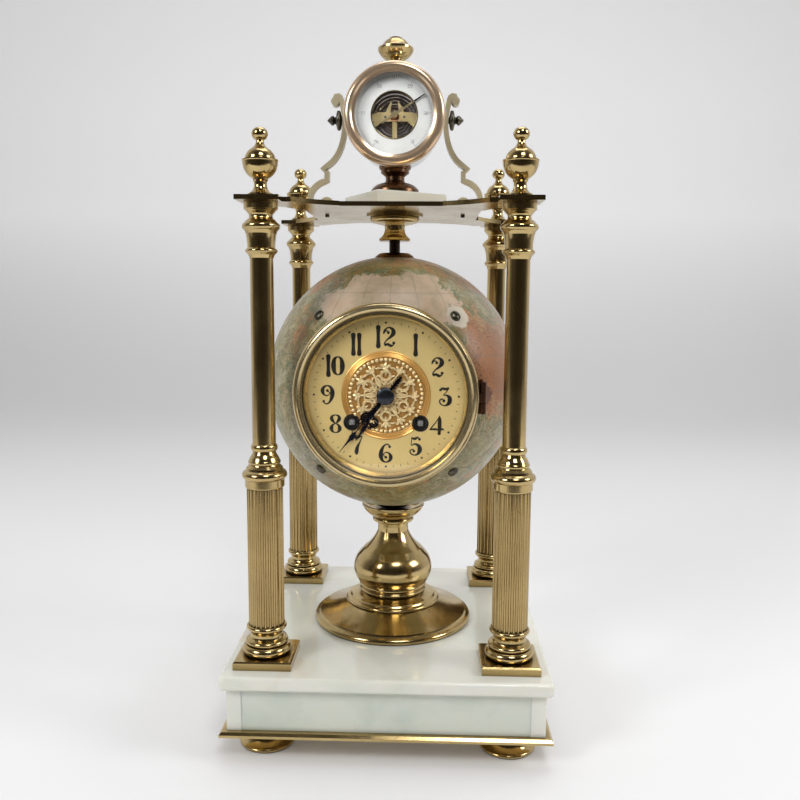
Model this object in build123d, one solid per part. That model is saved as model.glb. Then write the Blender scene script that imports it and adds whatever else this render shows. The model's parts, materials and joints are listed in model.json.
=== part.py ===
from build123d import *
import os
from math import atan2, cos, degrees, radians, sin, sqrt

# Globe clock with an aneroid barometer on top, held between four brass columns on an onyx base.
# +Z is up, the dials face -Y, and the origin is on the ground under the middle of the base.
# Heights named h_... are counted from the top of the onyx slab.

# ---- driving dimensions, millimetres ----
slab_top = 50.0             # height of the slab's top above the ground
slab_x = 186.0
slab_y = 192.0
slab_thickness = 8.1
column_offset = 70.0        # columns stand at plus and minus this in X and Y
h_globe = 155.6             # globe centre
globe_radius = 79.1
shell_wall = 1.7
h_plate = 260.0             # underside of the top plate
plate_thickness = 2.6
h_barometer = 317.3         # barometer centre
barometer_radius = 27.5
rod_radius = 2.5            # tie rods inside the columns
rod_gap = 0.1
pole_radius = 3.4           # upper pivot of the globe
pivot_radius = 3.5          # lower pivot of the globe
running_gap = 0.05
dial_radius = 49.0
dial_tilt = 2.3             # the dial looks down by this many degrees
rest_turn = 2.2             # and the globe rests turned to the viewer's left
barrel_x = 19.8             # winding squares, from the dial's middle
barrel_y = -15.9
minute_angle = 219.0        # hands at rest, clockwise from twelve
hour_angle = 213.3
case_inner = 44.0           # clock drum inside the globe
case_wall = 1.2

os.makedirs("parts", exist_ok=True)
written = []


def save(name, *solids):
    """Writes one node: a single solid, or a group of separate ones."""
    shape = solids[0] if len(solids) == 1 else Compound(children=list(solids))
    export_step(shape, f"parts/{name}.step")
    written.append(name)


def profile(outline, bore):
    """Closed face in XZ. (r, h) is a straight run, (r1, h1, r, h) an arc through (r1, h1)."""
    edges = []
    here = outline[0][-2:]
    for item in outline[1:]:
        there = item[-2:]
        if len(item) == 4:
            edges.append(ThreePointArc(here, item[:2], there))
        else:
            edges.append(Line(here, there))
        here = there
    start = outline[0][-2:]
    if here[0] > bore + 0.001:
        edges.append(Line(here, (bore, here[1])))
    edges.append(Line((bore, here[1]), (bore, start[1])))
    if start[0] > bore + 0.001:
        edges.append(Line((bore, start[1]), start))
    return Plane.XZ * make_face(edges)


def turned(outline, bore=0.0, lift=slab_top):
    """A piece turned on the lathe about Z, its heights raised by lift."""
    return Pos(0, 0, lift) * revolve(profile(outline, bore), Axis.Z)


def ring(outline):
    """A closed lathe section that never meets the axis, last point joined to the first."""
    points = outline + [outline[0][-2:]]
    edges = []
    here = points[0][-2:]
    for item in points[1:]:
        there = item[-2:]
        edges.append(ThreePointArc(here, item[:2], there) if len(item) == 4 else Line(here, there))
        here = there
    return revolve(Plane.XZ * make_face(edges), Axis.Z)


def rod(radius, low, high, x=0.0, y=0.0):
    return Pos(x, y, (low + high) / 2) * Cylinder(radius, high - low)


def block(size_x, size_y, low, high, x=0.0, y=0.0):
    return Pos(x, y, (low + high) / 2) * Box(size_x, size_y, high - low)


def at_columns(solid):
    """Four copies of a piece, one on each column's axis."""
    spots = [(sx * column_offset, sy * column_offset) for sx in (-1, 1) for sy in (-1, 1)]
    return [Pos(x, y, 0) * solid for x, y in spots]


def barometer(solid):
    """Stands a piece drawn face up (x right, y up, z to the viewer) so that it faces -Y."""
    return Pos(0, 0, slab_top + h_barometer) * Rot(90, 0, 0) * solid


def clock(solid):
    """The same for the clock in the globe, which rests tilted and slightly turned."""
    return Pos(0, 0, slab_top + h_globe) * Rot(0, 0, -rest_turn) * Rot(90 + dial_tilt, 0, 0) * solid


def polar(radius, angle):
    return (radius * cos(radians(angle)), radius * sin(radians(angle)))


def gear(teeth, module, low, high, bore, phase=0.0):
    """A clockwork wheel with straight-flanked teeth; one tooth is centred on the angle phase."""
    pitch = teeth * module / 2
    root = pitch - 1.15 * module
    tip = pitch + 0.75 * module
    step = 360 / teeth
    points = []
    for tooth in range(teeth):
        middle = phase + tooth * step
        for radius, share in ((root, -0.30), (tip, -0.11), (tip, 0.11), (root, 0.30)):
            points.append(polar(radius, middle + share * step))
    face = make_face(Polyline(*points, close=True)) - Circle(bore)
    return Pos(0, 0, low) * extrude(face, high - low)


# ---- base: feet, moulded tray, onyx walls and slab ----
h_ground = -slab_top
h_tray = -35.3
h_wall = -32.5
wall_x = 89.0               # half width over the onyx walls
wall_y = 91.8
wall = 8.0                  # thickness of the onyx walls
pier = 8.2                  # corner piers, square
tray_lip = 3.9
tray_floor = 1.8
spindle_radius = 3.0
spindle_bore = 3.1

foot = turned([(15.2, h_ground), (16.3, -49.0, 15.8, -47.6), (13.0, -45.5, 11.6, -41.5), (12.5, h_tray)])
foot -= rod(rod_radius + rod_gap, slab_top + h_tray - 8, slab_top + h_tray)
save("bun_feet", *at_columns(foot))

tray = block(2 * wall_x + 2 * tray_lip, 2 * wall_y + 2 * tray_lip, 0, h_wall - h_tray)
tray = chamfer(tray.edges().group_by(Axis.Z)[-1], 1.3)
tray -= block(2 * (wall_x - wall) - 2, 2 * (wall_y - wall) - 2, tray_floor, 10)
column_pads = [block(26, 26, 0, h_wall - h_tray, x, y)
               for x in (-column_offset, column_offset) for y in (-column_offset, column_offset)]
for pad in column_pads:
    tray += pad
tray = Pos(0, 0, slab_top + h_tray) * tray
rod_holes = at_columns(rod(rod_radius + rod_gap, 0, 400))
for hole in rod_holes:
    tray -= hole
save("base_tray", tray)

wall_low = slab_top + h_wall
wall_high = slab_top - slab_thickness
panel_x = 2 * (wall_x - pier)
panel_y = 2 * (wall_y - pier)
inset = 0.5                 # panels lie this far behind the piers
middle_x = wall_x - wall / 2 - inset
middle_y = wall_y - wall / 2 - inset
panels = [block(panel_x, wall, wall_low, wall_high, 0, sign * middle_y) for sign in (-1, 1)]
panels += [block(wall, panel_y, wall_low, wall_high, sign * middle_x, 0) for sign in (-1, 1)]
save("frieze_panels", *panels)
piers = [block(pier, pier, wall_low, wall_high, sx * (wall_x - pier / 2), sy * (wall_y - pier / 2))
         for sx in (-1, 1) for sy in (-1, 1)]
save("corner_piers", *piers)

slab = block(slab_x, slab_y, slab_top - slab_thickness, slab_top)
slab = fillet(slab.edges().filter_by(Axis.Z), 3.0)
slab = fillet(slab.edges().group_by(Axis.Z)[-1] + slab.edges().group_by(Axis.Z)[0], 2.4)
for hole in rod_holes:
    slab -= hole
slab -= rod(spindle_bore, 0, 60)
save("onyx_slab", slab)

# ---- columns ----
h_plinth = 4.9
h_shaft = 22.0
h_collar = 102.4
h_upper = 127.0
h_capital = 229.8
column_bore = rod_radius + rod_gap
flute_count = 24
shaft_radius = 10.2

plinth = block(33, 33, 0, h_plinth)
plinth = chamfer(plinth.edges().group_by(Axis.Z)[-1], 0.8)
plinth = Pos(0, 0, slab_top) * plinth - rod(column_bore, 0, 100)

base = turned([(12.4, h_plinth), (13.9, 7.7, 12.2, 10.4), (10.8, 10.7), (12.2, 12.2, 10.7, 13.7),
               (9.7, 14.3), (9.2, 16.1, 9.7, 17.9), (10.5, 19.1), (11.5, 20.6, 10.6, h_shaft)], column_bore)
save("column_bases", *at_columns(plinth), *at_columns(base))

fluted = Circle(shaft_radius) - Circle(column_bore)
for n in range(flute_count):
    x, y = polar(shaft_radius + 0.25, n * 360 / flute_count)
    fluted -= Pos(x, y) * Circle(1.05)
shaft = Pos(0, 0, slab_top + h_shaft) * extrude(fluted, h_collar - h_shaft)
save("fluted_shafts", *at_columns(shaft))

collar = turned([(10.8, h_collar), (11.1, 103), (11.1, 107), (11.6, 107.3), (12.7, 109.5, 11.3, 111.8),
                 (10.5, 112.3), (10.3, 113.6), (8.8, 115.1), (8.6, 115.6), (9.1, 116.8, 8.6, 118),
                 (8.0, 119.5), (6.9, 121.2), (6.3, 122.9), (7.0, 123.3), (7.5, 124.9, 7.0, 126.6),
                 (6.5, h_upper)], column_bore)
save("column_collars", *at_columns(collar))

upper = turned([(6.5, h_upper), (6.4, h_capital)], column_bore)
save("upper_shafts", *at_columns(upper))

capital = turned([(6.5, h_capital), (7.2, 231.6), (8.3, 232.7), (8.8, 233.7, 8.3, 234.7), (7.6, 235.3),
                  (7.75, 239.2, 8.4, 243.0), (8.9, 244.3), (9.3, 244.9), (10.4, 246.8, 9.3, 248.7),
                  (7.9, 250.2), (7.0, 250.8), (6.4, 252.4, 7.2, 254.0), (8.3, 255.2), (9.3, 256.1),
                  (9.3, h_plate)], column_bore)
save("column_capitals", *at_columns(capital))

h_finial = h_plate + plate_thickness
h_rod_end = 273.0
finial = turned([(6.8, h_finial), (6.8, 264.2), (5.2, 265.2), (3.6, 267.8, 3.7, 270.6), (4.2, 271.4),
                 (4.2, 272.2), (8.0, 275.6, 9.6, 281.0), (9.8, 281.4), (9.8, 282.1), (8.3, 282.5),
                 (7.2, 285.6, 4.9, 287.8), (4.5, 288.1), (2.7, 289.8, 2.1, 292.4), (4.4, 295.8, 0.5, 299.0)])
finial -= rod(column_bore, 200, slab_top + h_rod_end + 0.5)
save("column_finials", *at_columns(finial))

tie = rod(rod_radius, slab_top + h_tray - 7, slab_top + h_rod_end)
save("column_tie_rods", *at_columns(tie))

# ---- pedestal under the globe ----
h_stem = 18.2
h_cup = 64.0
pedestal_foot = turned([(47, 0), (50.2, 0), (51.0, 1.6, 50.2, 3.4), (48.4, 4.0), (47.7, 4.6), (47.4, 5.5),
                        (38.4, 8.5, 30.4, 12.0), (29.7, 12.2), (30.3, 13.3, 29.6, 14.4), (27.8, 14.8),
                        (27.3, 15.5), (26.7, 16.0), (23.6, 16.7, 21.2, 17.8), (20.6, h_stem)], spindle_bore)
pedestal_stem = turned([(20.2, h_stem), (20.5, 18.9), (21.6, 19.8, 20.9, 20.8), (20.6, 21.2),
                        (21.9, 22.9, 21.5, 24.3), (21.2, 24.6), (22.3, 24.9), (25.5, 34.5, 21.9, 43.4),
                        (18.8, 46.9), (12.9, 52.9, 10.0, 58.4), (9.9, 61.6), (10.5, h_cup)], spindle_bore)
h_cup_rim = 75.9
h_cup_floor = 73.0
pedestal_cup = turned([(10.6, h_cup), (12.3, 64.6), (13.4, 66.0, 12.8, 67.4), (15.3, 69.2),
                       (18.2, 71.8, 20.0, 75.0), (20.3, 75.3), (20.3, h_cup_rim), (18.9, h_cup_rim), (15.5, 73.7, 11, h_cup_floor)],
                      spindle_bore)
save("pedestal_foot", pedestal_foot)
save("pedestal_stem", pedestal_stem)
save("pedestal_cup", pedestal_cup)
h_pivot_top = 84.0
slab_under = slab_top - slab_thickness
pivot = rod(spindle_radius, slab_under - 6, slab_top + h_cup_floor)
pivot += rod(pivot_radius, slab_top + h_cup_floor, slab_top + h_pivot_top)
pivot += rod(6.5, slab_under - 4, slab_under)
save("lower_pivot", pivot)

# ---- top plate, its boss and the upper pivot ----
tab = 82.0                  # outer corner of a tab
tab_in = 58.2               # inner edge of a tab
quirk = 53.6
shelf = 71.0
waist = 52.0                # the straight middle of a side
waist_half = 29.0
scoop = (42.8, 61.0)


def plate_side(turn):
    """One side of the plate's outline, from a tab's corner to the next, turned about Z."""
    edges = [Line((-tab, -tab), (-tab_in, -tab)), Line((-tab_in, -tab), (-tab_in, -shelf)),
             Line((-tab_in, -shelf), (-quirk, -shelf)),
             ThreePointArc((-quirk, -shelf), (-scoop[0], -scoop[1]), (-waist_half, -waist - 1.8)),
             Line((-waist_half, -waist - 1.8), (-waist_half, -waist)),
             Line((-waist_half, -waist), (waist_half, -waist)),
             Line((waist_half, -waist), (waist_half, -waist - 1.8)),
             ThreePointArc((waist_half, -waist - 1.8), (scoop[0], -scoop[1]), (quirk, -shelf)),
             Line((quirk, -shelf), (tab_in, -shelf)), Line((tab_in, -shelf), (tab_in, -tab)),
             Line((tab_in, -tab), (tab, -tab))]
    return [Rot(0, 0, turn) * edge for edge in edges]


outline = [edge for turn in (0, 90, 180, 270) for edge in plate_side(turn)]
plate = Pos(0, 0, slab_top + h_plate) * extrude(make_face(outline), plate_thickness)
for hole in rod_holes:
    plate -= hole
bracket_x = 42.4
bracket_screw = 1.3
plate -= rod(pole_radius + running_gap, 200, 400)
for sign in (-1, 1):
    plate -= rod(bracket_screw + 0.05, 200, 400, sign * bracket_x)
save("top_plate", plate)

h_boss = 244.0
boss = turned([(9.4, h_boss), (9.9, 244.6), (9.6, 245.8), (7.2, 248.2, 6.3, 251.6), (6.5, 253.6),
               (10.2, 254.3), (13.2, 255.1), (15.4, 256.9, 15.2, 258.6), (17.6, 258.9), (17.6, h_plate)],
              pole_radius + running_gap)
save("plate_boss", boss)
h_block = h_plate + plate_thickness
h_neck = h_block + 9.4
save("upper_pivot", rod(pole_radius, slab_top + 228.0, slab_top + 284.0))

# ---- onyx block and barometer neck ----
onyx_block = Rot(0, 0, 30) * block(47, 47, slab_top + h_block, slab_top + h_neck)
onyx_block = chamfer(onyx_block.edges(), 0.5)
onyx_block -= rod(pole_radius + running_gap, 200, 400)
save("onyx_block", onyx_block)

drum_keepout = barometer(Cylinder(barometer_radius + 0.03, 80))
neck = turned([(14.8, h_neck), (15.0, 272.6), (14.8, 275.2), (12.6, 277.6, 7.2, 279.4), (5.9, 280.8),
               (5.9, 283.3), (7.5, 284.6), (8.8, 285.6), (8.8, 287.4), (9.7, 288.0),
               (10.0, 289.3, 9.7, 290.6), (9.7, 293)])
neck -= drum_keepout
neck -= rod(pole_radius + running_gap, 200, slab_top + 284.2)
save("barometer_neck", neck)

# ---- barometer, drawn face up ----
drum = Pos(0, 0, -1.5) * Cylinder(barometer_radius, 36)
drum = fillet(drum.edges().group_by(Axis.Z)[0], 1.5)
drum -= Cylinder(barometer_radius - 1.3, 36)
drum -= Pos(0, -12, -19) * Cylinder(2.5, 6)
thumb_hole = Rot(0, 90, 0) * Cylinder(1.85, 80)
save("barometer_drum", barometer(drum - thumb_hole))
bezel = ring([(27.6, 13.5), (29.2, 13.5), (30.3, 15.0), (30.3, 18.0), (29.8, 20.6, 27.6, 22.0), (26.2, 22.0),
              (25.2, 21.0), (23.6, 20.4), (23.6, 19.4), (25.7, 19.4), (25.7, 16.6), (27.6, 16.6)])
save("barometer_bezel", barometer(bezel))
save("barometer_glass", barometer(Pos(0, 0, 18.6) * Cylinder(25.5, 1.3)))
open_radius = 13.8
dial_plate = Pos(0, 0, 15.0) * (Cylinder(26.0, 0.9) - Cylinder(open_radius, 0.9))
save("barometer_dial", barometer(dial_plate))

capsule_outline = [(18.0, 1.0), (18.0, 5.0)]
for n in range(6):
    outer = 16.6 - 2.4 * n
    capsule_outline += [(outer, 5.0), (outer - 0.6, 6.0, outer - 1.2, 5.0)]
capsule_outline += [(3.2, 5.0), (3.2, 7.2)]
capsule = turned(capsule_outline, 0.0, 0.0) + Pos(0, 0, -8.4) * Cylinder(3.0, 19)
bridge = Pos(0, 0, 9.6) * extrude(RectangleRounded(44, 7.5, 2.0), 1.6)
for sign in (-1, 1):
    bridge += Pos(0, 0, 9.6) * extrude(Pos(sign * 3.4, 6) * Rot(0, 0, sign * 24) * Rectangle(3.4, 14), 1.6)
    bridge -= Pos(sign * 5.6, 0, 10) * Cylinder(0.9, 4)
    bridge += Pos(sign * 20, 0, 4) * Cylinder(1.6, 12.8)
bridge += Pos(0, -6.6, 9.6) * extrude(Rectangle(2.6, 12), 1.6)
bridge -= Pos(0, 0, 10) * Cylinder(0.75, 8)
save("barometer_movement", barometer(capsule), barometer(bridge))

pointer_angle = -57.0
needle = Polyline((-0.5, -9), (0.5, -9), (0.9, 0), (0.25, 21.5), (-0.25, 21.5), (-0.9, 0), close=True)
pointer = Pos(0, 0, 16.2) * extrude(make_face(needle), 0.5)
pointer += Pos(0, 0, 16.3) * Cylinder(1.7, 0.8)
pointer = Rot(0, 0, pointer_angle) * pointer + Pos(0, 0, 13.3) * Cylinder(0.7, 6.6)
save("barometer_pointer", barometer(pointer))

h_knob = 344.0
knob = turned([(7.4, h_knob - 2), (7.4, 344.8), (5.0, 346.0), (4.3, 349.4, 4.4, 352.0), (5.4, 353.0),
               (8.9, 355.4, 10.9, 358.5), (10.9, 359.7), (9.4, 360.6), (8.5, 361.3), (7.9, 362.2),
               (7.2, 363.1), (6.0, 364.2, 4.2, 365.1), (3.8, 365.9), (0, 366.2)])
save("barometer_finial", knob - drum_keepout)

# ---- lyre brackets that steady the barometer ----
strip = 3.0                 # thickness of the scrolled strip
strip_depth = 7.0
scroll = [(36.8, 329.6), (35.8, 331.6), (34.0, 331.0), (32.7, 327.4), (31.5, 321), (31.2, 313), (32.6, 304),
          (35.6, 296.6), (40.3, 291.2)]
scroll_eye = (36.9, 328.2)
foot_curl = [(42.4, 280.9), (47.0, 279.2), (51.0, 275.6), (53.0, 270.5), (52.6, 266.4),
             (49.5, h_block + strip / 2)]


def ribbon(points, half):
    """Outline of a strip that follows the points, half to each side."""
    left = []
    right = []
    for n, point in enumerate(points):
        before = points[max(n - 1, 0)]
        after = points[min(n + 1, len(points) - 1)]
        along = (after - before).normalized()
        across = Vector(-along.Y, along.X) * half
        left.append(point + across)
        right.append(point - across)
    return make_face(Polyline(*left, *reversed(right), close=True))


def bracket(sign):
    """Scrolled strip: top curl, long sweep down the drum's side, a step, and the foot's curl."""
    sweep_line = Spline(*scroll)
    curl_line = Spline(*foot_curl)
    middle = [sweep_line @ (n / 28) for n in range(29)]
    middle += [Vector(45.0, 287.6), Vector(42.2, 286.0)]
    middle += [curl_line @ (n / 16) for n in range(17)]
    middle.append(Vector(38.6, h_block + strip / 2))
    face = ribbon(middle, strip / 2)
    face += Pos(bracket_x, h_block + strip + 0.6) * Circle(4.6)
    face += Pos(*scroll_eye) * Circle(2.5)
    face -= Pos(bracket_x, h_block - 10) * Rectangle(40, 20)
    body = extrude(face, strip_depth / 2, both=True)
    if sign < 0:
        body = mirror(body, Plane.YZ)
    body = Pos(0, 0, slab_top) * Rot(90, 0, 0) * body
    body -= Pos(0, 0, slab_top + h_barometer) * Rot(0, 90, 0) * Cylinder(1.85, 100)
    return body - rod(bracket_screw + 0.05, slab_top + 250, slab_top + 268, sign * bracket_x)


save("lyre_brackets", bracket(-1), bracket(1))
screw = rod(bracket_screw, slab_top + h_plate - 1.2, slab_top + h_block + 5.0)
foot_screws = [Pos(sign * bracket_x, 0, 0) * screw for sign in (-1, 1)]

thumb = turned([(1.8, 25.5), (1.8, 33.0), (2.8, 33.2), (5.2, 33.8), (6.0, 34.9, 5.2, 36.0), (2.6, 36.6),
                (1.9, 37.4), (3.0, 38.5), (2.9, 39.4), (0.4, 42.0)], 0.0, 0.0)
thumb_screws = [barometer(Rot(0, sign * 90, 0) * thumb) for sign in (-1, 1)]
save("bracket_screws", *foot_screws, *thumb_screws)

# ---- globe: shell, polar collars and fixing screws ----
front_hole = 52.0
back_hole = 46.0
polar_hole = 8.0
screw_shank = 1.3
inner_radius = globe_radius - shell_wall
shell = Sphere(globe_radius) - Sphere(inner_radius)
shell -= Pos(0, 0, 60) * Cylinder(front_hole, 50)
shell -= Pos(0, 0, -60) * Cylinder(back_hole, 50)
shell -= Pos(53.5, 0, 60) * Box(10, 20, 8)      # notch for the bezel's hinge
screw_lean = 48.9           # angle between the dial's axis and a fixing screw
screw_turn = 49.3           # and the screw's direction above or below the horizontal
screw_frames = [Rot(0, 0, turn) * Rot(0, screw_lean, 0)
                for turn in (screw_turn, 180 - screw_turn, 180 + screw_turn, 360 - screw_turn)]
for frame in screw_frames:
    shell -= frame * Pos(0, 0, 75) * Cylinder(screw_shank + 0.05, 20)
at_globe = Pos(0, 0, slab_top + h_globe)
save("globe_shell", clock(shell) - at_globe * Cylinder(polar_hole, 200))

collar_profile = [(7.9, 70.0), (7.9, 77.0), (12.8, 77.0), (12.8, 78.0), (11.6, 79.4, 9.2, 81.0)]
ball = Sphere(globe_radius + 0.03)
stem = rod(7.9, 70.0, 80.0) - rod(pole_radius + running_gap, 60, 90)
top_collar = turned(collar_profile, pole_radius + running_gap, 0.0) - ball + stem
stem = rod(7.9, 70.0, 80.0) - rod(pivot_radius + running_gap, 60, 90)
low_collar = turned(collar_profile, pivot_radius + running_gap, 0.0) - ball + stem
save("polar_collars", at_globe * top_collar, at_globe * Rot(180, 0, 0) * low_collar)

head = turned([(3.2, 0.1), (3.0, 1.0), (1.9, 1.7, 0.3, 1.9)], 0.0, globe_radius)
head += rod(screw_shank, globe_radius - 5.5, globe_radius + 0.2)
head -= block(0.8, 8, globe_radius + 1.0, globe_radius + 3)
save("globe_screws", *[clock(frame * head) for frame in screw_frames])

# ---- clock drum, dial and bezel, drawn face up from the globe's centre ----
case_outer = case_inner + case_wall
flange_out = inner_radius - 0.2
flange_in = flange_out - 1.6
web_low = 52.9
web_high = 54.3
flange_edge = 62.0          # how far round the flange reaches, as a radius about the dial's axis
case_back = -64.4


def on_sphere(radius, at_z):
    return sqrt(radius * radius - at_z * at_z)


flange_z = sqrt(flange_out ** 2 - flange_edge ** 2)
flange_mid = 49.0
case_section = [(case_inner, case_back), (case_outer, case_back), (case_outer, web_low),
                (on_sphere(flange_in, web_low), web_low),
                (on_sphere(flange_in, flange_mid), flange_mid, on_sphere(flange_in, flange_z), flange_z),
                (flange_edge, flange_z),
                (on_sphere(flange_out, flange_mid), flange_mid, on_sphere(flange_out, web_high), web_high),
                (case_inner, web_high)]
case = ring(case_section)
for frame in screw_frames:
    case -= frame * Pos(0, 0, 75) * Cylinder(screw_shank + 0.05, 20)
save("clock_case", clock(case))

seat_low = 54.5
dial_back = 56.0
dial_front = 57.0
seat = ring([(40.5, seat_low), (51.8, seat_low), (51.8, 59.6), (49.3, 59.6), (49.3, 55.9), (40.5, 55.9)])
hinge_x = 55.2
hinge_z = 60.6
knuckle = 1.9
pin_radius = 0.9
for low, high in ((-9, -3.1), (3.1, 9)):
    arm = Pos(hinge_x - 2.2, (low + high) / 2, 58.8) * Box(4.4, high - low, 1.6)
    seat += arm - Cylinder(50, 200)
    seat += Pos(hinge_x, (low + high) / 2, hinge_z) * Rot(90, 0, 0) * Cylinder(knuckle, high - low)
seat -= Pos(hinge_x, 0, hinge_z) * Rot(90, 0, 0) * Cylinder(pin_radius + 0.03, 30)
save("bezel_seat", clock(seat))
bezel_pin = Pos(hinge_x, 0, hinge_z) * Rot(90, 0, 0) * Cylinder(pin_radius, 19)

front_bezel = ring([(51.9, 60.0), (53.0, 60.0), (53.0, 61.8), (52.4, 64.8, 50.0, 66.2), (48.9, 65.7), (48.4, 64.6),
                    (47.2, 64.6), (47.2, 64.45), (48.7, 64.45), (48.7, 62.85), (46.7, 62.85), (45.0, 58.6),
                    (45.8, 58.3), (48.4, 61.5)])
front_bezel += Pos(hinge_x - 1.6, 0, 61.4) * Box(3.2, 5.4, 2.0) - Cylinder(50, 200)
front_bezel += Pos(hinge_x, 0, hinge_z) * Rot(90, 0, 0) * Cylinder(knuckle, 5.6)
front_bezel -= Pos(hinge_x, 0, hinge_z) * Rot(90, 0, 0) * Cylinder(pin_radius + running_gap, 30)
save("front_bezel", clock(front_bezel))
save("front_glass", clock(Pos(0, 0, 63.65) * Cylinder(48.6, 1.5)))

winding_hole = 4.3
hour_pipe = 2.6
dial = Pos(0, 0, (dial_back + dial_front) / 2) * Cylinder(dial_radius, dial_front - dial_back)
dial -= Cylinder(hour_pipe + 0.4, 200)
for sign in (-1, 1):
    dial -= Pos(sign * barrel_x, barrel_y, 0) * Cylinder(winding_hole, 200)
save("dial", clock(dial))
medallion = ring([(22.0, dial_front), (25.7, dial_front), (25.4, 57.5), (22.4, 57.5)])
medallion += Pos(0, 0, dial_front + 0.2) * (Cylinder(22.2, 0.4) - Cylinder(6.5, 0.4))
for sign in (-1, 1):
    medallion -= Pos(sign * barrel_x, barrel_y, 57) * Cylinder(winding_hole, 10)
save("dial_medallion", clock(medallion))

# ---- movement: plates, pillars, barrels ----
plate_radius = 42.5
front_low = 46.0
front_high = 48.0
back_low = 8.0
back_high = 10.0
arbor = 1.0
wind_arbor = 2.2
intermediate = (12.57, 0.76)     # its arbor, where both gears mesh
motion_distance = 12.0      # minute wheel's post, straight above the centre
balance_at = (16.0, 20.5)
hammer_at = (-36.0, 14.0)
front_plate = Pos(0, 0, (front_low + front_high) / 2) * Cylinder(plate_radius, front_high - front_low)
back_plate = Pos(0, 0, (back_low + back_high) / 2) * Cylinder(plate_radius, back_high - back_low)
centre_hole = Cylinder(arbor + running_gap, 300)
front_plate -= centre_hole
back_plate -= centre_hole
inter_hole = Pos(*intermediate, 0) * Cylinder(0.8 + running_gap, 300)
front_plate -= inter_hole
back_plate -= inter_hole
for sign in (-1, 1):
    hole = Pos(sign * barrel_x, barrel_y, 0) * Cylinder(wind_arbor + running_gap, 300)
    front_plate -= hole
    back_plate -= hole
back_plate -= Pos(*hammer_at, 0) * Cylinder(0.8 + running_gap, 300)
front_plate += Pos(0, motion_distance, 50.5) * Cylinder(0.8, 6.0)
save("movement_front_plate", clock(front_plate))
pillars = [Pos(*polar(38, a), 0) * rod(2.4, back_high, front_low) for a in (35, 90, 145, 270)]
posts = [Pos(*polar(41.3, a), 0) * rod(0.8, front_high, seat_low) for a in (0, 120, 240)]
save("movement_pillars", *[clock(p) for p in pillars + posts])

barrel_teeth = 84
barrel_pitch = 15.9
barrel_module = 2 * barrel_pitch / barrel_teeth
pinion = 12
inter_teeth = 72
inter_module = 0.3
inter_from_centre = degrees(atan2(intermediate[1], intermediate[0]))
inter_from_barrel = degrees(atan2(intermediate[1] - barrel_y, intermediate[0] - barrel_x))
barrel = gear(barrel_teeth, barrel_module, 11.0, 12.6, wind_arbor + running_gap, inter_from_barrel)
barrel += rod(15.0, 12.6, 33.0) - rod(14.0, 13.6, 32.0) - rod(wind_arbor + running_gap, 0, 60)
save("going_barrel", clock(Pos(barrel_x, barrel_y, 0) * barrel))
strike_barrel = gear(barrel_teeth, barrel_module, 11.0, 12.6, wind_arbor + running_gap)
strike_barrel += rod(15.0, 12.6, 33.0) - rod(14.0, 13.6, 32.0) - rod(wind_arbor + running_gap, 0, 60)
save("striking_barrel", clock(Pos(-barrel_x, barrel_y, 0) * strike_barrel))
square = 3.1
wind = rod(wind_arbor, 6.5, 50.0) + Pos(0, 0, 53.0) * Box(square, square, 6.4)
save("going_winding_arbor", clock(Pos(barrel_x, barrel_y, 0) * wind))
save("striking_winding_arbor", clock(Pos(-barrel_x, barrel_y, 0) * wind))

inter_pinion = gear(pinion, barrel_module, 10.8, 13.0, 0.4, inter_from_barrel + 180 + 180 / pinion)
inter_wheel = gear(inter_teeth, inter_module, 38.0, 39.2, 0.4, inter_from_centre + 180)
inter = inter_pinion + inter_wheel + rod(0.8, 8.4, 47.4)
save("intermediate_wheel", clock(Pos(*intermediate, 0) * inter))

# ---- centre arbor, motion work and hands ----
cannon_teeth = 12
minute_teeth = 36
motion_module = 2 * motion_distance / (cannon_teeth + minute_teeth)
minute_pinion = 10
hour_teeth = 40
hour_module = 2 * motion_distance / (minute_pinion + hour_teeth)
cannon_tube = 1.7
hand_thickness = 0.5
hour_hand_z = 57.7
minute_hand_z = 58.9
centre = rod(arbor, 8.4, 59.8) + gear(pinion, inter_module, 37.6, 39.6, 0.5, inter_from_centre + 180 / pinion)
centre += gear(cannon_teeth, motion_module, 49.0, 51.4, 0.5, 90) + rod(cannon_tube, 48.6, 59.6)
save("centre_arbor", clock(centre))
minute_gear = gear(minute_teeth, motion_module, 49.5, 50.9, 0.85, 270 + 180 / minute_teeth)
minute_gear += gear(minute_pinion, hour_module, 50.9, 53.4, 0.85, 270 + 180 / minute_pinion)
save("minute_wheel", clock(Pos(0, motion_distance, 0) * minute_gear))
hour_gear = gear(hour_teeth, hour_module, 52.0, 53.1, cannon_tube + running_gap, 90)
hour_gear += rod(hour_pipe, 53.1, 58.4) - rod(cannon_tube + running_gap, 0, 70)
save("hour_wheel", clock(hour_gear))


def hand(length, tail, width, low, eye, turn):
    """A plain pointer with a hub disc, turned clockwise from twelve."""
    high = low + hand_thickness
    outline = [(-width, 0), (-width * 0.8, length * 0.6), (-0.3, length), (0.3, length), (width * 0.8, length * 0.6),
               (width, 0), (width * 0.6, -tail), (-width * 0.6, -tail)]
    body = Pos(0, 0, low) * extrude(make_face(Polyline(*outline, close=True)), high - low)
    body += rod(4.0, low, high)
    return Rot(0, 0, -turn) * body - rod(eye, low - 1, high + 1)


hour_hand = hand(32.0, 5.0, 1.6, hour_hand_z, hour_pipe, hour_angle)
save("hour_hand", clock(hour_hand))
minute_hand = hand(43.0, 15.0, 1.2, minute_hand_z, cannon_tube, minute_angle)
save("minute_hand", clock(minute_hand))
collet = turned([(5.1, 59.9), (5.1, 60.4), (3.6, 61.5, 0.4, 62.0)], 0.0, 0.0)
save("hand_collet", clock(collet))

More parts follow.
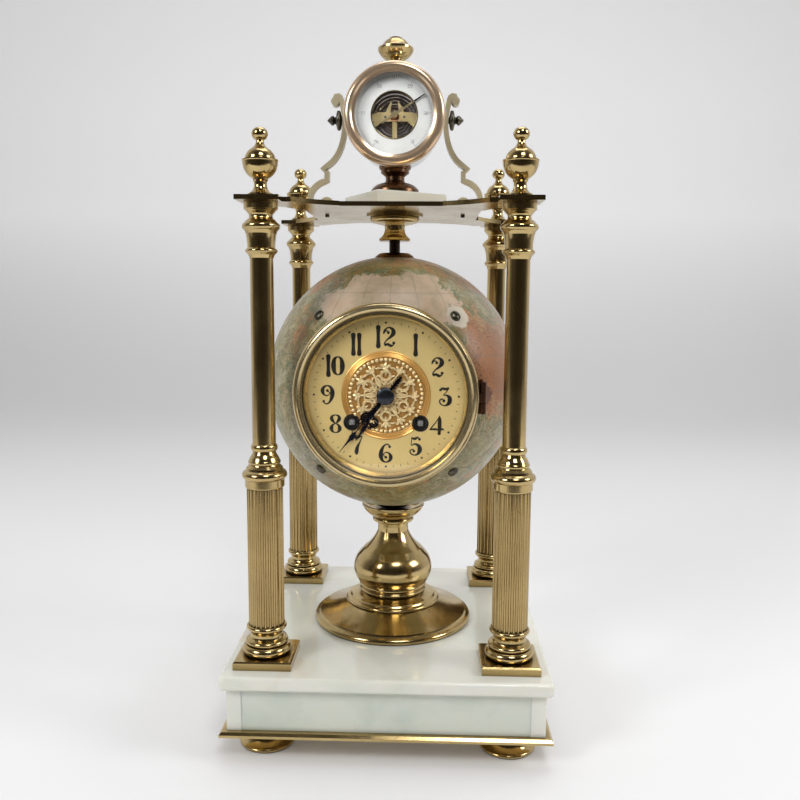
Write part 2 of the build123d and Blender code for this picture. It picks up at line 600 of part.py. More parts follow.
# ---- escapement platform, bell and hammer behind the back plate ----
platform = Pos(*balance_at, 6.9) * Box(26, 20, 2.0)
platform += Pos(balance_at[0] + 11.0, balance_at[1], 3.6) * Box(3.6, 5, 5.2)
platform += Pos(balance_at[0] + 5.5, balance_at[1], 1.6) * Box(14.6, 5, 1.2)
platform -= Pos(*balance_at, 0) * Cylinder(0.45, 40)
save("escapement_platform", clock(platform))
balance = Pos(0, 0, 4.0) * (Cylinder(8.0, 0.9) - Cylinder(6.8, 0.9)) + Pos(0, 0, 4.0) * Box(14.4, 1.4, 0.7)
balance += rod(0.4, 1.4, 7.4)
save("balance_wheel", clock(Pos(*balance_at, 0) * balance))

bell_radius = 30.0
bell_lip = -8.0
bell_top = -24.0
bell = ring([(bell_radius, bell_lip), (27.5, -18.0, 18.0, -23.0), (1.6, bell_top), (1.6, bell_top + 1.4),
             (17.5, -21.6), (26.0, -17.2, 28.4, bell_lip)])
save("bell", clock(bell))
bell_post = rod(1.5, bell_top - 3.0, 7.0) + rod(3.2, bell_top + 1.5, 7.4) + rod(3.2, bell_top - 3.0, bell_top - 0.1)
back_plate += bell_post + rod(3.2, 7.4, back_low) - rod(arbor + 0.2, 7.6, 9)
save("movement_back_plate", clock(back_plate))
hammer_head = (-32.6, -11.8)
arm_length = sqrt((hammer_head[0] - hammer_at[0]) ** 2 + (hammer_head[1] - hammer_at[1]) ** 2)
hammer = rod(0.8, -10.5, 12.0) + Pos(0, 0, -9.6) * Cylinder(2.0, 2.0)
hammer_turn = 7.5           # the arm hangs down, leaning in towards the bell
hammer += Rot(0, 0, hammer_turn) * (Pos(0, -arm_length / 2, -9.6) * Box(1.4, arm_length, 1.2))
hammer += Rot(0, 0, hammer_turn) * (Pos(-0.2, -arm_length, -10.5) * Cylinder(3.7, 6.5))
save("strike_hammer", clock(Pos(*hammer_at, 0) * hammer))

# ---- rear ring and door ----
rear_seat = -64.7
rear_face = -65.9
door_face = -66.3
door_back = -67.6
door_radius = 47.8
rear_hinge_x = 50.2
rear_hinge_z = -67.0
rear_ring = ring([(45.3, rear_seat), (48.2, rear_seat), (48.2, rear_face), (43.0, rear_face), (43.0, rear_seat + 0.2),
                  (45.3, rear_seat + 0.2)])
for low, high in ((-8, -3.1), (3.1, 8)):
    rear_ring += Pos(rear_hinge_x - 2.0, (low + high) / 2, -65.3) * Box(4.0, high - low, 1.2)
    rear_ring += Pos(rear_hinge_x, (low + high) / 2, rear_hinge_z) * Rot(90, 0, 0) * Cylinder(1.7, high - low)
rear_ring -= Pos(rear_hinge_x, 0, rear_hinge_z) * Rot(90, 0, 0) * Cylinder(pin_radius + 0.03, 30)
save("rear_ring", clock(rear_ring))
rear_pin = Pos(rear_hinge_x, 0, rear_hinge_z) * Rot(90, 0, 0) * Cylinder(pin_radius, 17)
save("hinge_pins", clock(bezel_pin), clock(rear_pin))
door = revolve(profile([(door_radius, door_face), (door_radius, -66.9), (46.4, door_back)], 0.0), Axis.Z)
door += Pos(rear_hinge_x - 1.8, 0, -67.0) * Box(3.4, 5.2, 1.2)
door += Pos(rear_hinge_x, 0, rear_hinge_z) * Rot(90, 0, 0) * Cylinder(1.7, 5.6)
door -= Pos(rear_hinge_x, 0, rear_hinge_z) * Rot(90, 0, 0) * Cylinder(pin_radius + running_gap, 30)
door += Pos(-38, 0, -70.0) * Sphere(2.4) + Pos(-38, 0, -68.2) * Cylinder(1.2, 2.4)
save("rear_door", clock(door))

print(len(written), "nodes")
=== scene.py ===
import json
import math

import bmesh
import bpy
from mathutils import Matrix, Vector


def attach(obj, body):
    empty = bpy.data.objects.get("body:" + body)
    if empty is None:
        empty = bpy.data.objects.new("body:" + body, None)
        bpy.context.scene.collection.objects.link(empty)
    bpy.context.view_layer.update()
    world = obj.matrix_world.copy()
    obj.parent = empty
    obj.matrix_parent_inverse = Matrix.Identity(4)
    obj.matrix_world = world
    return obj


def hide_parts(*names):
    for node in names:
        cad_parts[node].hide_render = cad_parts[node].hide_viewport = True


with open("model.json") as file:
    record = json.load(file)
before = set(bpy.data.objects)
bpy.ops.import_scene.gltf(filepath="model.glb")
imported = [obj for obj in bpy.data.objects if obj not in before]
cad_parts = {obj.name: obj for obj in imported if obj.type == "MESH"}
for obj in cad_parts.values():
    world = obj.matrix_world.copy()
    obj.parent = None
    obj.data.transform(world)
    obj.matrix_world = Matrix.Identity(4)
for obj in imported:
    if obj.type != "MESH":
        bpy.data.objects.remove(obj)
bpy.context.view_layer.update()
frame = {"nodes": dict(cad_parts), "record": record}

mm = 0.001
slabTop = 0.050
clockHeight = slabTop + 0.1556
barometerHeight = slabTop + 0.3173
dialTilt = 2.3  # degrees, looking down
restTurn = 2.2  # degrees, to the left
scene = bpy.context.scene


# small helpers for node trees

def addNode(tree, kind, **settings):
    node = tree.nodes.new(kind)
    for key, value in settings.items():
        setattr(node, key, value)
    return node


def setInputs(node, **values):
    for key, value in values.items():
        node.inputs[key.replace("_", " ")].default_value = value
    return node


def join(tree, fromSocket, toSocket):
    tree.links.new(fromSocket, toSocket)


def ramp(tree, factor, stops):
    node = addNode(tree, "ShaderNodeValToRGB")
    elements = node.color_ramp.elements
    while len(elements) < len(stops):
        elements.new(0.5)
    for element, (position, colour) in zip(elements, stops):
        element.position = position
        element.color = (*colour, 1)
    join(tree, factor, node.inputs["Fac"])
    return node.outputs["Color"]


def newGroup(name, inputs, outputs):
    tree = bpy.data.node_groups.new(name, "ShaderNodeTree")
    for label, kind, value in inputs:
        socket = tree.interface.new_socket(name=label, in_out="INPUT", socket_type=kind)
        socket.default_value = value
    for label, kind in outputs:
        tree.interface.new_socket(name=label, in_out="OUTPUT", socket_type=kind)
    return tree, addNode(tree, "NodeGroupInput"), addNode(tree, "NodeGroupOutput")


def placeGroup(tree, name, **values):
    node = addNode(tree, "ShaderNodeGroup")
    node.node_tree = bpy.data.node_groups[name]
    for key, value in values.items():
        node.inputs[key].default_value = value
    return node


def newMaterial(name, **values):
    material = bpy.data.materials.new(name)
    material.use_nodes = True
    tree = material.node_tree
    shader = tree.nodes["Principled BSDF"]
    for key, value in values.items():
        shader.inputs[key].default_value = value
    return material, tree, shader


def bumpInto(tree, shader, height, strength, distance):
    bump = addNode(tree, "ShaderNodeBump")
    bump.inputs["Strength"].default_value = strength
    bump.inputs["Distance"].default_value = distance
    join(tree, height, bump.inputs["Height"])
    join(tree, bump.outputs["Normal"], shader.inputs["Normal"])


def mixColour(tree, factor, first, second, blend="MIX"):
    node = addNode(tree, "ShaderNodeMix", data_type="RGBA", blend_type=blend)
    for socket, value in ((node.inputs[0], factor), (node.inputs[6], first), (node.inputs[7], second)):
        if hasattr(value, "is_output"):
            join(tree, value, socket)
        elif socket == node.inputs[0]:
            socket.default_value = value
        else:
            socket.default_value = (*value, 1)
    return node.outputs[2]


def mathNode(tree, operation, a, b=None, c=None, clamp=False):
    node = addNode(tree, "ShaderNodeMath", operation=operation, use_clamp=clamp)
    for socket, value in zip(node.inputs, (a, b, c)):
        if value is None:
            continue
        if hasattr(value, "is_output"):
            join(tree, value, socket)
        else:
            socket.default_value = value
    return node.outputs[0]


def times(tree, a, b):
    return mathNode(tree, "MULTIPLY", a, b)


def spread(tree, value, gain, offset):  # a value stretched and held between nought and one
    return mathNode(tree, "MULTIPLY_ADD", value, gain, offset, True)


def paint(tree, shader, colour):
    join(tree, colour, shader.inputs["Base Color"])


def objectPoint(tree):
    return addNode(tree, "ShaderNodeTexCoord").outputs["Object"]


def noise(tree, vector, scale, detail=4.0, roughness=0.55, distortion=0.0):
    node = addNode(tree, "ShaderNodeTexNoise")
    setInputs(node, Scale=scale, Detail=detail, Roughness=roughness, Distortion=distortion)
    join(tree, vector, node.inputs["Vector"])
    return node.outputs["Fac"]


def stretched(tree, vector, scale):
    node = addNode(tree, "ShaderNodeMapping")
    node.inputs["Scale"].default_value = scale
    join(tree, vector, node.inputs["Vector"])
    return node.outputs["Vector"]


# shared effects

def buildTarnishGroup():
    tree, inp, out = newGroup(
        "tarnishAndShade",
        [("Bright", "NodeSocketColor", (0.8, 0.6, 0.3, 1)), ("Dull", "NodeSocketColor", (0.4, 0.26, 0.1, 1)),
         ("Groove", "NodeSocketColor", (0.08, 0.05, 0.02, 1)), ("Bloom", "NodeSocketFloat", 0.4),
         ("Spots", "NodeSocketFloat", 0.3), ("Smooth", "NodeSocketFloat", 0.16),
         ("Rough", "NodeSocketFloat", 0.38)],
        [("Colour", "NodeSocketColor"), ("Roughness", "NodeSocketFloat"), ("Height", "NodeSocketFloat")])
    point = objectPoint(tree)
    cloud = noise(tree, point, 38.0, 5.0, 0.6, 0.4)
    streak = noise(tree, stretched(tree, point, (260, 260, 18)), 1.0, 3.0, 0.6)
    speck = noise(tree, point, 900.0, 2.0, 0.7)
    bloom = spread(tree, cloud, 1.6, -0.55)
    bloom = mathNode(tree, "ADD", times(tree, bloom, inp.outputs["Bloom"]),
                     times(tree, mathNode(tree, "SUBTRACT", streak, 0.5), 0.35), None, True)
    colour = mixColour(tree, bloom, inp.outputs["Bright"], inp.outputs["Dull"])
    spots = times(tree, spread(tree, speck, 8.0, -5.0), inp.outputs["Spots"])
    colour = mixColour(tree, spots, colour, inp.outputs["Groove"])
    # painted shade: the colour darkens towards the Groove tone in hollows and turned grooves, from ambient
    # occlusion
    hollow = addNode(tree, "ShaderNodeAmbientOcclusion", samples=6)
    hollow.inputs["Distance"].default_value = 0.0035
    hollowShade = spread(tree, hollow.outputs["AO"], -2.2, 1.75)
    hollowShade = times(tree, hollowShade, 0.8)
    colour = mixColour(tree, hollowShade, colour, inp.outputs["Groove"])
    span = mathNode(tree, "SUBTRACT", inp.outputs["Rough"], inp.outputs["Smooth"])
    dull = mathNode(tree, "MAXIMUM", mathNode(tree, "MAXIMUM", bloom, spots), hollowShade)
    rough = mathNode(tree, "MULTIPLY_ADD", dull, span, inp.outputs["Smooth"])
    join(tree, colour, out.inputs["Colour"])
    join(tree, rough, out.inputs["Roughness"])
    join(tree, mathNode(tree, "ADD", times(tree, streak, 0.4), cloud), out.inputs["Height"])


def metal(name, bright, dull, groove, bloom=0.4, spots=0.3, smooth=0.16, rough=0.38, bump=0.06,
          metallic=1.0):
    material, tree, shader = newMaterial(name, Metallic=metallic)
    group = placeGroup(tree, "tarnishAndShade", Bright=(*bright, 1), Dull=(*dull, 1), Groove=(*groove, 1),
                       Bloom=bloom, Spots=spots, Smooth=smooth, Rough=rough)
    paint(tree, shader, group.outputs["Colour"])
    join(tree, group.outputs["Roughness"], shader.inputs["Roughness"])
    bumpInto(tree, shader, group.outputs["Height"], bump, 0.001)
    return material


def flutedBrass():  # the same brass, with painted shade down the flutes, stronger in patches
    material = metal("flutedBrass", (0.52, 0.38, 0.17), (0.28, 0.19, 0.075), (0.04, 0.024, 0.01),
                     bloom=0.6, spots=0.5, smooth=0.12, rough=0.34)
    tree = material.node_tree
    shader = tree.nodes["Principled BSDF"]
    clean = shader.inputs["Base Color"].links[0].from_socket
    # painted shade: near black deep in the flutes, from ambient occlusion, its strength varied in blotches
    hollow = addNode(tree, "ShaderNodeAmbientOcclusion", samples=10)
    hollow.inputs["Distance"].default_value = 0.0013
    depth = spread(tree, hollow.outputs["AO"], -3.2, 2.9)
    blotch = noise(tree, stretched(tree, objectPoint(tree), (90, 90, 22)), 1.0, 4.0)
    patch = spread(tree, blotch, 3.2, -1.5)
    patchyFluteShade = times(tree, depth, mathNode(tree, "MULTIPLY_ADD", patch, 0.35, 0.6))
    paint(tree, shader, mixColour(tree, patchyFluteShade, clean, (0.05, 0.03, 0.012)))
    return material


onyxWork = {"veinedCorner": (-0.075, 0.0, slabTop), "veinFall": 24.0, "veinStart": 2.2,
             # left of the pedestal
            "strayVeins": 0.16, "gloss": 0.16, "glow": 0.25}


def onyx(name, pale, cloudy, vein, veinAmount, scale):
    material, tree, shader = newMaterial(name, Roughness=onyxWork["gloss"])
    shader.inputs["Subsurface Weight"].default_value = onyxWork["glow"]
    shader.inputs["Subsurface Radius"].default_value = (0.012, 0.009, 0.006)
    shader.inputs["Subsurface Scale"].default_value = 0.6
    shader.inputs["Coat Weight"].default_value = 0.3
    shader.inputs["Coat Roughness"].default_value = 0.08
    point = objectPoint(tree)
    drift = noise(tree, stretched(tree, point, (1.0, 0.55, 1.4)), scale, 6.0, 0.55, 1.2)
    colour = ramp(tree, drift, [(0.25, cloudy), (0.5, pale), (0.78, pale), (0.95, cloudy)])
    warp = noise(tree, stretched(tree, point, (0.45, 1.0, 1.0)), scale * 0.9, 8.0, 0.60, 1.2)
    line = mathNode(tree, "ABSOLUTE", mathNode(tree, "SUBTRACT", warp, 0.5))
    thin = spread(tree, line, -34.0, 1.0)
    gap = addNode(tree, "ShaderNodeVectorMath", operation="DISTANCE")
    gap.inputs[1].default_value = onyxWork["veinedCorner"]
    join(tree, point, gap.inputs[0])
    near = spread(tree, gap.outputs["Value"], -onyxWork["veinFall"], onyxWork["veinStart"])
    where = spread(tree, noise(tree, point, 16.0, 2.0), 4.0, -1.6)
    where = times(tree, where, mathNode(tree, "MAXIMUM", near, onyxWork["strayVeins"]))
    veined = times(tree, times(tree, thin, where), veinAmount)
    colour = mixColour(tree, veined, colour, vein)
    paint(tree, shader, colour)
    bumpInto(tree, shader, noise(tree, point, 420.0, 3.0), 0.04, 0.0006)
    return material


def clearGlass():
    material, tree, shader = newMaterial("flatGlass", Roughness=0.01, IOR=1.45, Metallic=0.0)
    shader.inputs["Transmission Weight"].default_value = 1.0
    smear = noise(tree, objectPoint(tree), 60.0, 3.0)
    paint(tree, shader, ramp(tree, smear, [(0.3, (1, 1, 1)), (0.8, (0.96, 0.98, 0.97))]))
    through = addNode(tree, "ShaderNodeBsdfTransparent")
    path = addNode(tree, "ShaderNodeLightPath")
    choice = addNode(tree, "ShaderNodeMixShader")
    join(tree, path.outputs["Is Shadow Ray"], choice.inputs[0])
    join(tree, shader.outputs[0], choice.inputs[1])
    join(tree, through.outputs[0], choice.inputs[2])
    join(tree, choice.outputs[0], tree.nodes["Material Output"].inputs["Surface"])
    return material


def globeDirection(tree):  # the unit vector from the globe's centre
    centre = addNode(tree, "ShaderNodeVectorMath", operation="SUBTRACT")
    centre.inputs[1].default_value = (0, 0, clockHeight)
    join(tree, objectPoint(tree), centre.inputs[0])
    unit = addNode(tree, "ShaderNodeVectorMath", operation="NORMALIZE")
    join(tree, centre.outputs[0], unit.inputs[0])
    split = addNode(tree, "ShaderNodeSeparateXYZ")
    join(tree, unit.outputs[0], split.inputs[0])
    return unit.outputs[0], split.outputs["X"], split.outputs["Y"], split.outputs["Z"]


def lineMask(tree, value, step, width):  # one on thin lines at every whole step of the value
    steps = mathNode(tree, "DIVIDE", value, step)
    away = mathNode(tree, "ABSOLUTE", mathNode(tree, "SUBTRACT", mathNode(tree, "FRACT", steps), 0.5))
    return spread(tree, away, step / width, 1 - 0.5 * step / width)


def spotMask(tree, unit, place, inner, outer, ragged):  # one near a point of the sphere, with a torn edge
    gap = addNode(tree, "ShaderNodeVectorMath", operation="DISTANCE")
    join(tree, unit, gap.inputs[0])
    gap.inputs[1].default_value = Vector(place).normalized()
    edge = mathNode(tree, "MULTIPLY_ADD", noise(tree, unit, 14.0, 4.0, 0.65), ragged, -0.5 * ragged)
    far = mathNode(tree, "ADD", gap.outputs["Value"], edge)
    return spread(tree, far, -1 / (outer - inner), outer / (outer - inner))


mapWork = {
    "land": [(0.10, (0.46, 0.42, 0.26)), (0.28, (0.27, 0.25, 0.09)), (0.42, (0.46, 0.37, 0.20)),
             (0.54, (0.21, 0.20, 0.06)), (0.66, (0.47, 0.28, 0.11)), (0.82, (0.38, 0.15, 0.045))],
    "sea": [(0.3, (0.50, 0.43, 0.31)), (0.5, (0.64, 0.50, 0.37)), (0.75, (0.66, 0.47, 0.35))],
    "seaMiddle": (-0.01, 0.62), "seaReach": (0.50, 0.235),  # across and up, on a globe of radius one
    "coastGreen": (0.06, 0.20, 0.10), "borderGreen": (0.08, 0.15, 0.07), "riverBrown": (0.20, 0.12, 0.06),
    "printBrown": (0.07, 0.04, 0.02), "gridGrey": (0.16, 0.15, 0.10), "gridStep": 15,
    "age": [(0.3, (0.66, 0.64, 0.56)), (0.52, (1, 1, 1)), (0.75, (0.80, 0.70, 0.55))],
    "sideSheen": (0.62, 0.63, 0.58), "tearPlace": (0.49, -0.69, 0.55), "tornPaper": (0.66, 0.58, 0.46),
    "woundPlace": (0.665, -0.745, -0.01), "woundBrown": (0.14, 0.055, 0.03)}  # where the bezel's hinge rubs


def printedMap():
    material, tree, shader = newMaterial("mapPaper", Metallic=0.0)
    shader.inputs["Coat Weight"].default_value = 0.2
    shader.inputs["Coat Roughness"].default_value = 0.22
    unit, x, y, z = globeDirection(tree)
    broad = noise(tree, unit, 1.9, 5.0, 0.6, 0.8)
    fine = noise(tree, unit, 7.0, 8.0, 0.7, 0.6)
    slope = mathNode(tree, "ADD", times(tree, x, 0.16), times(tree, z, 0.14))
    tone = mathNode(tree, "ADD", mathNode(tree, "MULTIPLY_ADD", fine, 1.3, -0.65),
                    mathNode(tree, "ADD", mathNode(tree, "MULTIPLY_ADD", broad, 2.2, -0.6), slope))
    land = ramp(tree, tone, mapWork["land"])
    wobble = mathNode(tree, "MULTIPLY_ADD", noise(tree, unit, 4.0, 9.0, 0.72, 0.3), 1.5, -0.75)
    middle, size = mapWork["seaMiddle"], mapWork["seaReach"]
    across = mathNode(tree, "DIVIDE", mathNode(tree, "SUBTRACT", x, middle[0]), size[0])
    upward = mathNode(tree, "DIVIDE", mathNode(tree, "SUBTRACT", z, middle[1]), size[1])
    reach = mathNode(tree, "SQRT", mathNode(tree, "ADD", times(tree, across, across),
                                            times(tree, upward, upward)))
    behind = spread(tree, y, 8.0, 0.5)
    shore = mathNode(tree, "ADD", mathNode(tree, "ADD", reach, wobble), times(tree, behind, 3.0))
    ocean = spread(tree, shore, -14.0, 14.5)
    sea = ramp(tree, fine, mapWork["sea"])
    colour = mixColour(tree, ocean, land, sea)
    coast = spread(tree, mathNode(tree, "ABSOLUTE", mathNode(tree, "SUBTRACT", shore, 1.0)), -15.0, 1.0)
    painted = times(tree, coast, spread(tree, fine, 5.0, -1.8))
    colour = mixColour(tree, times(tree, painted, 0.95), colour, mapWork["coastGreen"])
    other = mathNode(tree, "ABSOLUTE", mathNode(tree, "SUBTRACT", broad, 0.47))
    rim = times(tree, spread(tree, other, -90.0, 1.0), mathNode(tree, "SUBTRACT", 1.0, ocean))
    colour = mixColour(tree, times(tree, rim, 0.75), colour, mapWork["borderGreen"])
    rivers = mathNode(tree, "ABSOLUTE",
                      mathNode(tree, "SUBTRACT", noise(tree, unit, 6.0, 6.0, 0.6, 1.5), 0.5))
    inked = times(tree, spread(tree, rivers, -120.0, 1.0), spread(tree, ocean, -0.9, 1.0))
    colour = mixColour(tree, times(tree, inked, 0.7), colour, mapWork["riverBrown"])
    words = noise(tree, stretched(tree, unit, (42, 42, 120)), 1.0, 2.0, 0.9)
    crowd = spread(tree, noise(tree, unit, 4.0, 3.0), 5.0, -1.8)
    smallPrint = times(tree, spread(tree, words, 14.0, -7.7), crowd)
    smallPrint = times(tree, smallPrint, spread(tree, ocean, -0.85, 0.9))
    colour = mixColour(tree, smallPrint, colour, mapWork["printBrown"])
    gridStep = math.radians(mapWork["gridStep"])
    meridian = lineMask(tree, mathNode(tree, "ARCTAN2", y, x), gridStep, 0.008)
    parallel = lineMask(tree, mathNode(tree, "ARCSINE", z), gridStep, 0.007)
    lines = times(tree, mathNode(tree, "MAXIMUM", meridian, parallel), spread(tree, fine, 2.0, -0.45))
    colour = mixColour(tree, times(tree, lines, 0.7), colour, mapWork["gridGrey"])
    age = ramp(tree, noise(tree, unit, 3.2, 6.0, 0.62), mapWork["age"])
    colour = mixColour(tree, 1.0, colour, age, "MULTIPLY")
    # painted sheen: the map turns paler towards the globe's sides and back, a little more on the right
    pale = spread(tree, mathNode(tree, "ADD", y, times(tree, x, 0.25)), 2.6, 1.3)
    colour = mixColour(tree, times(tree, pale, 0.22), colour, mapWork["sideSheen"])
    tear = spotMask(tree, unit, mapWork["tearPlace"], 0.085, 0.10, 0.09)
    colour = mixColour(tree, tear, colour, mapWork["tornPaper"])
    wound = spotMask(tree, unit, mapWork["woundPlace"], 0.085, 0.10, 0.15)
    colour = mixColour(tree, wound, colour, mapWork["woundBrown"])
    paint(tree, shader, colour)
    join(tree, spread(tree, fine, 0.5, 0.15), shader.inputs["Roughness"])
    layers = mathNode(tree, "SUBTRACT", times(tree, fine, 0.6), mathNode(tree, "ADD", tear, wound))
    bumpInto(tree, shader, layers, 0.25, 0.0006)
    return material


def whiteEnamel():
    material, tree, shader = newMaterial("silveredDial", Roughness=0.35)
    cloud = noise(tree, objectPoint(tree), 120.0, 4.0)
    paint(tree, shader, ramp(tree, cloud, [(0.3, (0.76, 0.77, 0.76)), (0.7, (0.86, 0.86, 0.84))]))
    return material


hingeWork = {"start": 0.0531, "sharpness": 4000.0, "brown": (0.13, 0.05, 0.028), "strength": 0.93}


def hingedBrass(name, bright, dull):  # brass ring whose hinge has gone reddish brown
    material = metal(name, bright, dull, (0.05, 0.035, 0.015),
                     bloom=0.5, spots=0.3, smooth=0.17, rough=0.34, metallic=0.85)
    tree = material.node_tree
    shader = tree.nodes["Principled BSDF"]
    clean = shader.inputs["Base Color"].links[0].from_socket
    across = addNode(tree, "ShaderNodeVectorMath", operation="DOT_PRODUCT")
    across.inputs[1].default_value = (math.cos(math.radians(restTurn)), -math.sin(math.radians(restTurn)), 0)
    join(tree, objectPoint(tree), across.inputs[0])
    past = spread(tree, across.outputs["Value"], hingeWork["sharpness"],
                  -hingeWork["sharpness"] * hingeWork["start"])
    browned = times(tree, past, hingeWork["strength"])
    paint(tree, shader, mixColour(tree, browned, clean, hingeWork["brown"]))
    return material


pointerWork = {"plane": -0.0165, "tipStart": 0.01375, "sharpness": 2000.0, "gilt": (0.80, 0.66, 0.38),
               "blued": (0.03, 0.035, 0.06)}


def twoTonePointer():  # gilt boss, blued tip
    material, tree, shader = newMaterial("pointerSteel", Metallic=1.0, Roughness=0.3)
    gap = addNode(tree, "ShaderNodeVectorMath", operation="DISTANCE")
    gap.inputs[1].default_value = (0, pointerWork["plane"], barometerHeight)
    join(tree, objectPoint(tree), gap.inputs[0])
    grain = mathNode(tree, "MULTIPLY_ADD", noise(tree, objectPoint(tree), 900.0), 0.5, -0.25)
    past = mathNode(tree, "MULTIPLY_ADD", gap.outputs["Value"], pointerWork["sharpness"],
                    -pointerWork["sharpness"] * pointerWork["tipStart"])
    tip = mathNode(tree, "ADD", past, grain, None, True)
    paint(tree, shader, mixColour(tree, tip, pointerWork["gilt"], pointerWork["blued"]))
    return material


buildTarnishGroup()
finishes = {
    "brass": metal("oldBrass", (0.57, 0.43, 0.20), (0.31, 0.21, 0.085), (0.04, 0.024, 0.01),
                   bloom=0.7, spots=0.45, smooth=0.12, rough=0.36),
    "steel": metal("turnedSteel", (0.50, 0.49, 0.48), (0.28, 0.26, 0.24), (0.06, 0.05, 0.04)),
    "blued_steel": metal("bluedSteel", (0.03, 0.034, 0.06), (0.015, 0.015, 0.02), (0.01, 0.01, 0.01),
                         bloom=0.3, spots=0.2, smooth=0.2, rough=0.4),
    "bronze": metal("darkBronze", (0.14, 0.13, 0.10), (0.07, 0.07, 0.055), (0.02, 0.02, 0.015),
                    bloom=0.6, spots=0.5, smooth=0.28, rough=0.5),
    "nickel": metal("nickelPlate", (0.80, 0.79, 0.76), (0.66, 0.64, 0.60), (0.3, 0.28, 0.25),
                    bloom=0.3, spots=0.2, smooth=0.10, rough=0.25),
    "gilt_dial": metal("frostedGilt", (0.92, 0.70, 0.30), (0.80, 0.56, 0.20), (0.5, 0.32, 0.11),
                       bloom=0.5, spots=0.1, smooth=0.34, rough=0.48, bump=0.03, metallic=0.45),
    "bell_metal": metal("bellMetal", (0.75, 0.62, 0.38), (0.5, 0.4, 0.2), (0.1, 0.07, 0.03)),
    "onyx_cream": onyx("creamOnyx", (0.84, 0.84, 0.76), (0.72, 0.76, 0.67), (0.66, 0.42, 0.28), 0.8, 9.0),
    "onyx_green": onyx("greenOnyx", (0.74, 0.77, 0.68), (0.60, 0.67, 0.58), (0.56, 0.54, 0.44), 0.25, 12.0),
    "clear_glass": clearGlass(),
    "globe_paper": printedMap(),
    "silvered_dial": whiteEnamel(),
}
darkBronze = metal("brownBronze", (0.20, 0.11, 0.06), (0.09, 0.05, 0.03), (0.02, 0.012, 0.01),
                   bloom=0.6, spots=0.5, smooth=0.22, rough=0.42)
blackRod = metal("blackenedRod", (0.06, 0.04, 0.03), (0.03, 0.02, 0.015), (0.01, 0.01, 0.01),
                 bloom=0.5, spots=0.4, smooth=0.25, rough=0.45)
straw = metal("strawBrass", (0.70, 0.62, 0.42), (0.50, 0.43, 0.26), (0.25, 0.2, 0.1),
              bloom=0.5, spots=0.2, smooth=0.34, rough=0.5, metallic=0.35)
rosy = metal("rosyBrass", (0.78, 0.58, 0.40), (0.56, 0.40, 0.26), (0.08, 0.05, 0.03),
             bloom=0.5, spots=0.3, smooth=0.2, rough=0.36, metallic=0.7)
paleBrass = hingedBrass("bezelBrass", (0.62, 0.50, 0.28), (0.38, 0.28, 0.13))
capsuleGrey = metal("capsuleNickel", (0.62, 0.56, 0.58), (0.36, 0.32, 0.33), (0.06, 0.05, 0.05),
                    bloom=0.5, spots=0.3, smooth=0.2, rough=0.35, metallic=0.6)
lightBrass = metal("bridgeBrass", (0.82, 0.66, 0.34), (0.66, 0.48, 0.20), (0.2, 0.12, 0.04),
                   bloom=0.4, spots=0.3, smooth=0.3, rough=0.45, metallic=0.4)
brightSteel = metal("brightSteel", (0.82, 0.82, 0.80), (0.6, 0.6, 0.58), (0.3, 0.3, 0.3),
                    bloom=0.3, spots=0.1, smooth=0.25, rough=0.4)
ownFinish = {
    "fluted_shafts": flutedBrass(), "upper_pivot": blackRod, "barometer_neck": darkBronze,
    "polar_collars": darkBronze, "lyre_brackets": straw, "barometer_bezel": rosy, "front_bezel": paleBrass,
    "bezel_seat": paleBrass, "going_winding_arbor": brightSteel, "striking_winding_arbor": brightSteel,
    "barometer_pointer": twoTonePointer()}

slotOf = {entry["node"]: entry["material_slot"] for entry in frame["record"]["subparts"]}
for name, node in frame["nodes"].items():
    node.data.materials.clear()
    node.data.materials.append(ownFinish.get(name) or finishes[slotOf[name]])
print("finishes on the frame")


# drawing on a dial: x right, y up, z towards the viewer, in millimetres

def onFace(height, turn=0.0, tilt=0.0):
    return (Matrix.Translation((0, 0, height)) @ Matrix.Rotation(math.radians(-turn), 4, "Z")
            @ Matrix.Rotation(math.radians(90 + tilt), 4, "X") @ Matrix.Scale(mm, 4))


clockFace = onFace(clockHeight, restTurn, dialTilt)
barometerFace = onFace(barometerHeight)


def smoothPath(points, steps=6):
    if len(points) < 3:
        return [tuple(p) for p in points]
    padded = [points[0], *points, points[-1]]
    line = []
    for n in range(1, len(padded) - 2):
        a, b, c, d = padded[n - 1:n + 3]
        for step in range(steps):
            t = step / steps
            line.append(tuple(0.5 * (2 * q + (r - p) * t + (2 * p - 5 * q + 4 * r - s) * t * t
                                     + (3 * q - p - 3 * r + s) * t ** 3) for p, q, r, s in zip(a, b, c, d)))
    line.append(tuple(points[-1]))
    return line


def normals2d(line):
    result = []
    for n in range(len(line)):
        before, after = line[max(n - 1, 0)], line[min(n + 1, len(line) - 1)]
        dx, dy = after[0] - before[0], after[1] - before[1]
        size = math.hypot(dx, dy) or 1.0
        result.append((-dy / size, dx / size))
    return result


def prism(bm, outline, faces, low, high):  # upright walls round an outline, closed above and below
    top = [bm.verts.new((x, y, high)) for x, y in outline]
    bottom = [bm.verts.new((x, y, low)) for x, y in outline]
    for face in faces:
        bm.faces.new([top[n] for n in face])
        bm.faces.new([bottom[n] for n in reversed(face)])
    for n in range(len(top)):
        m = (n + 1) % len(top)
        bm.faces.new((top[m], top[n], bottom[n], bottom[m]))


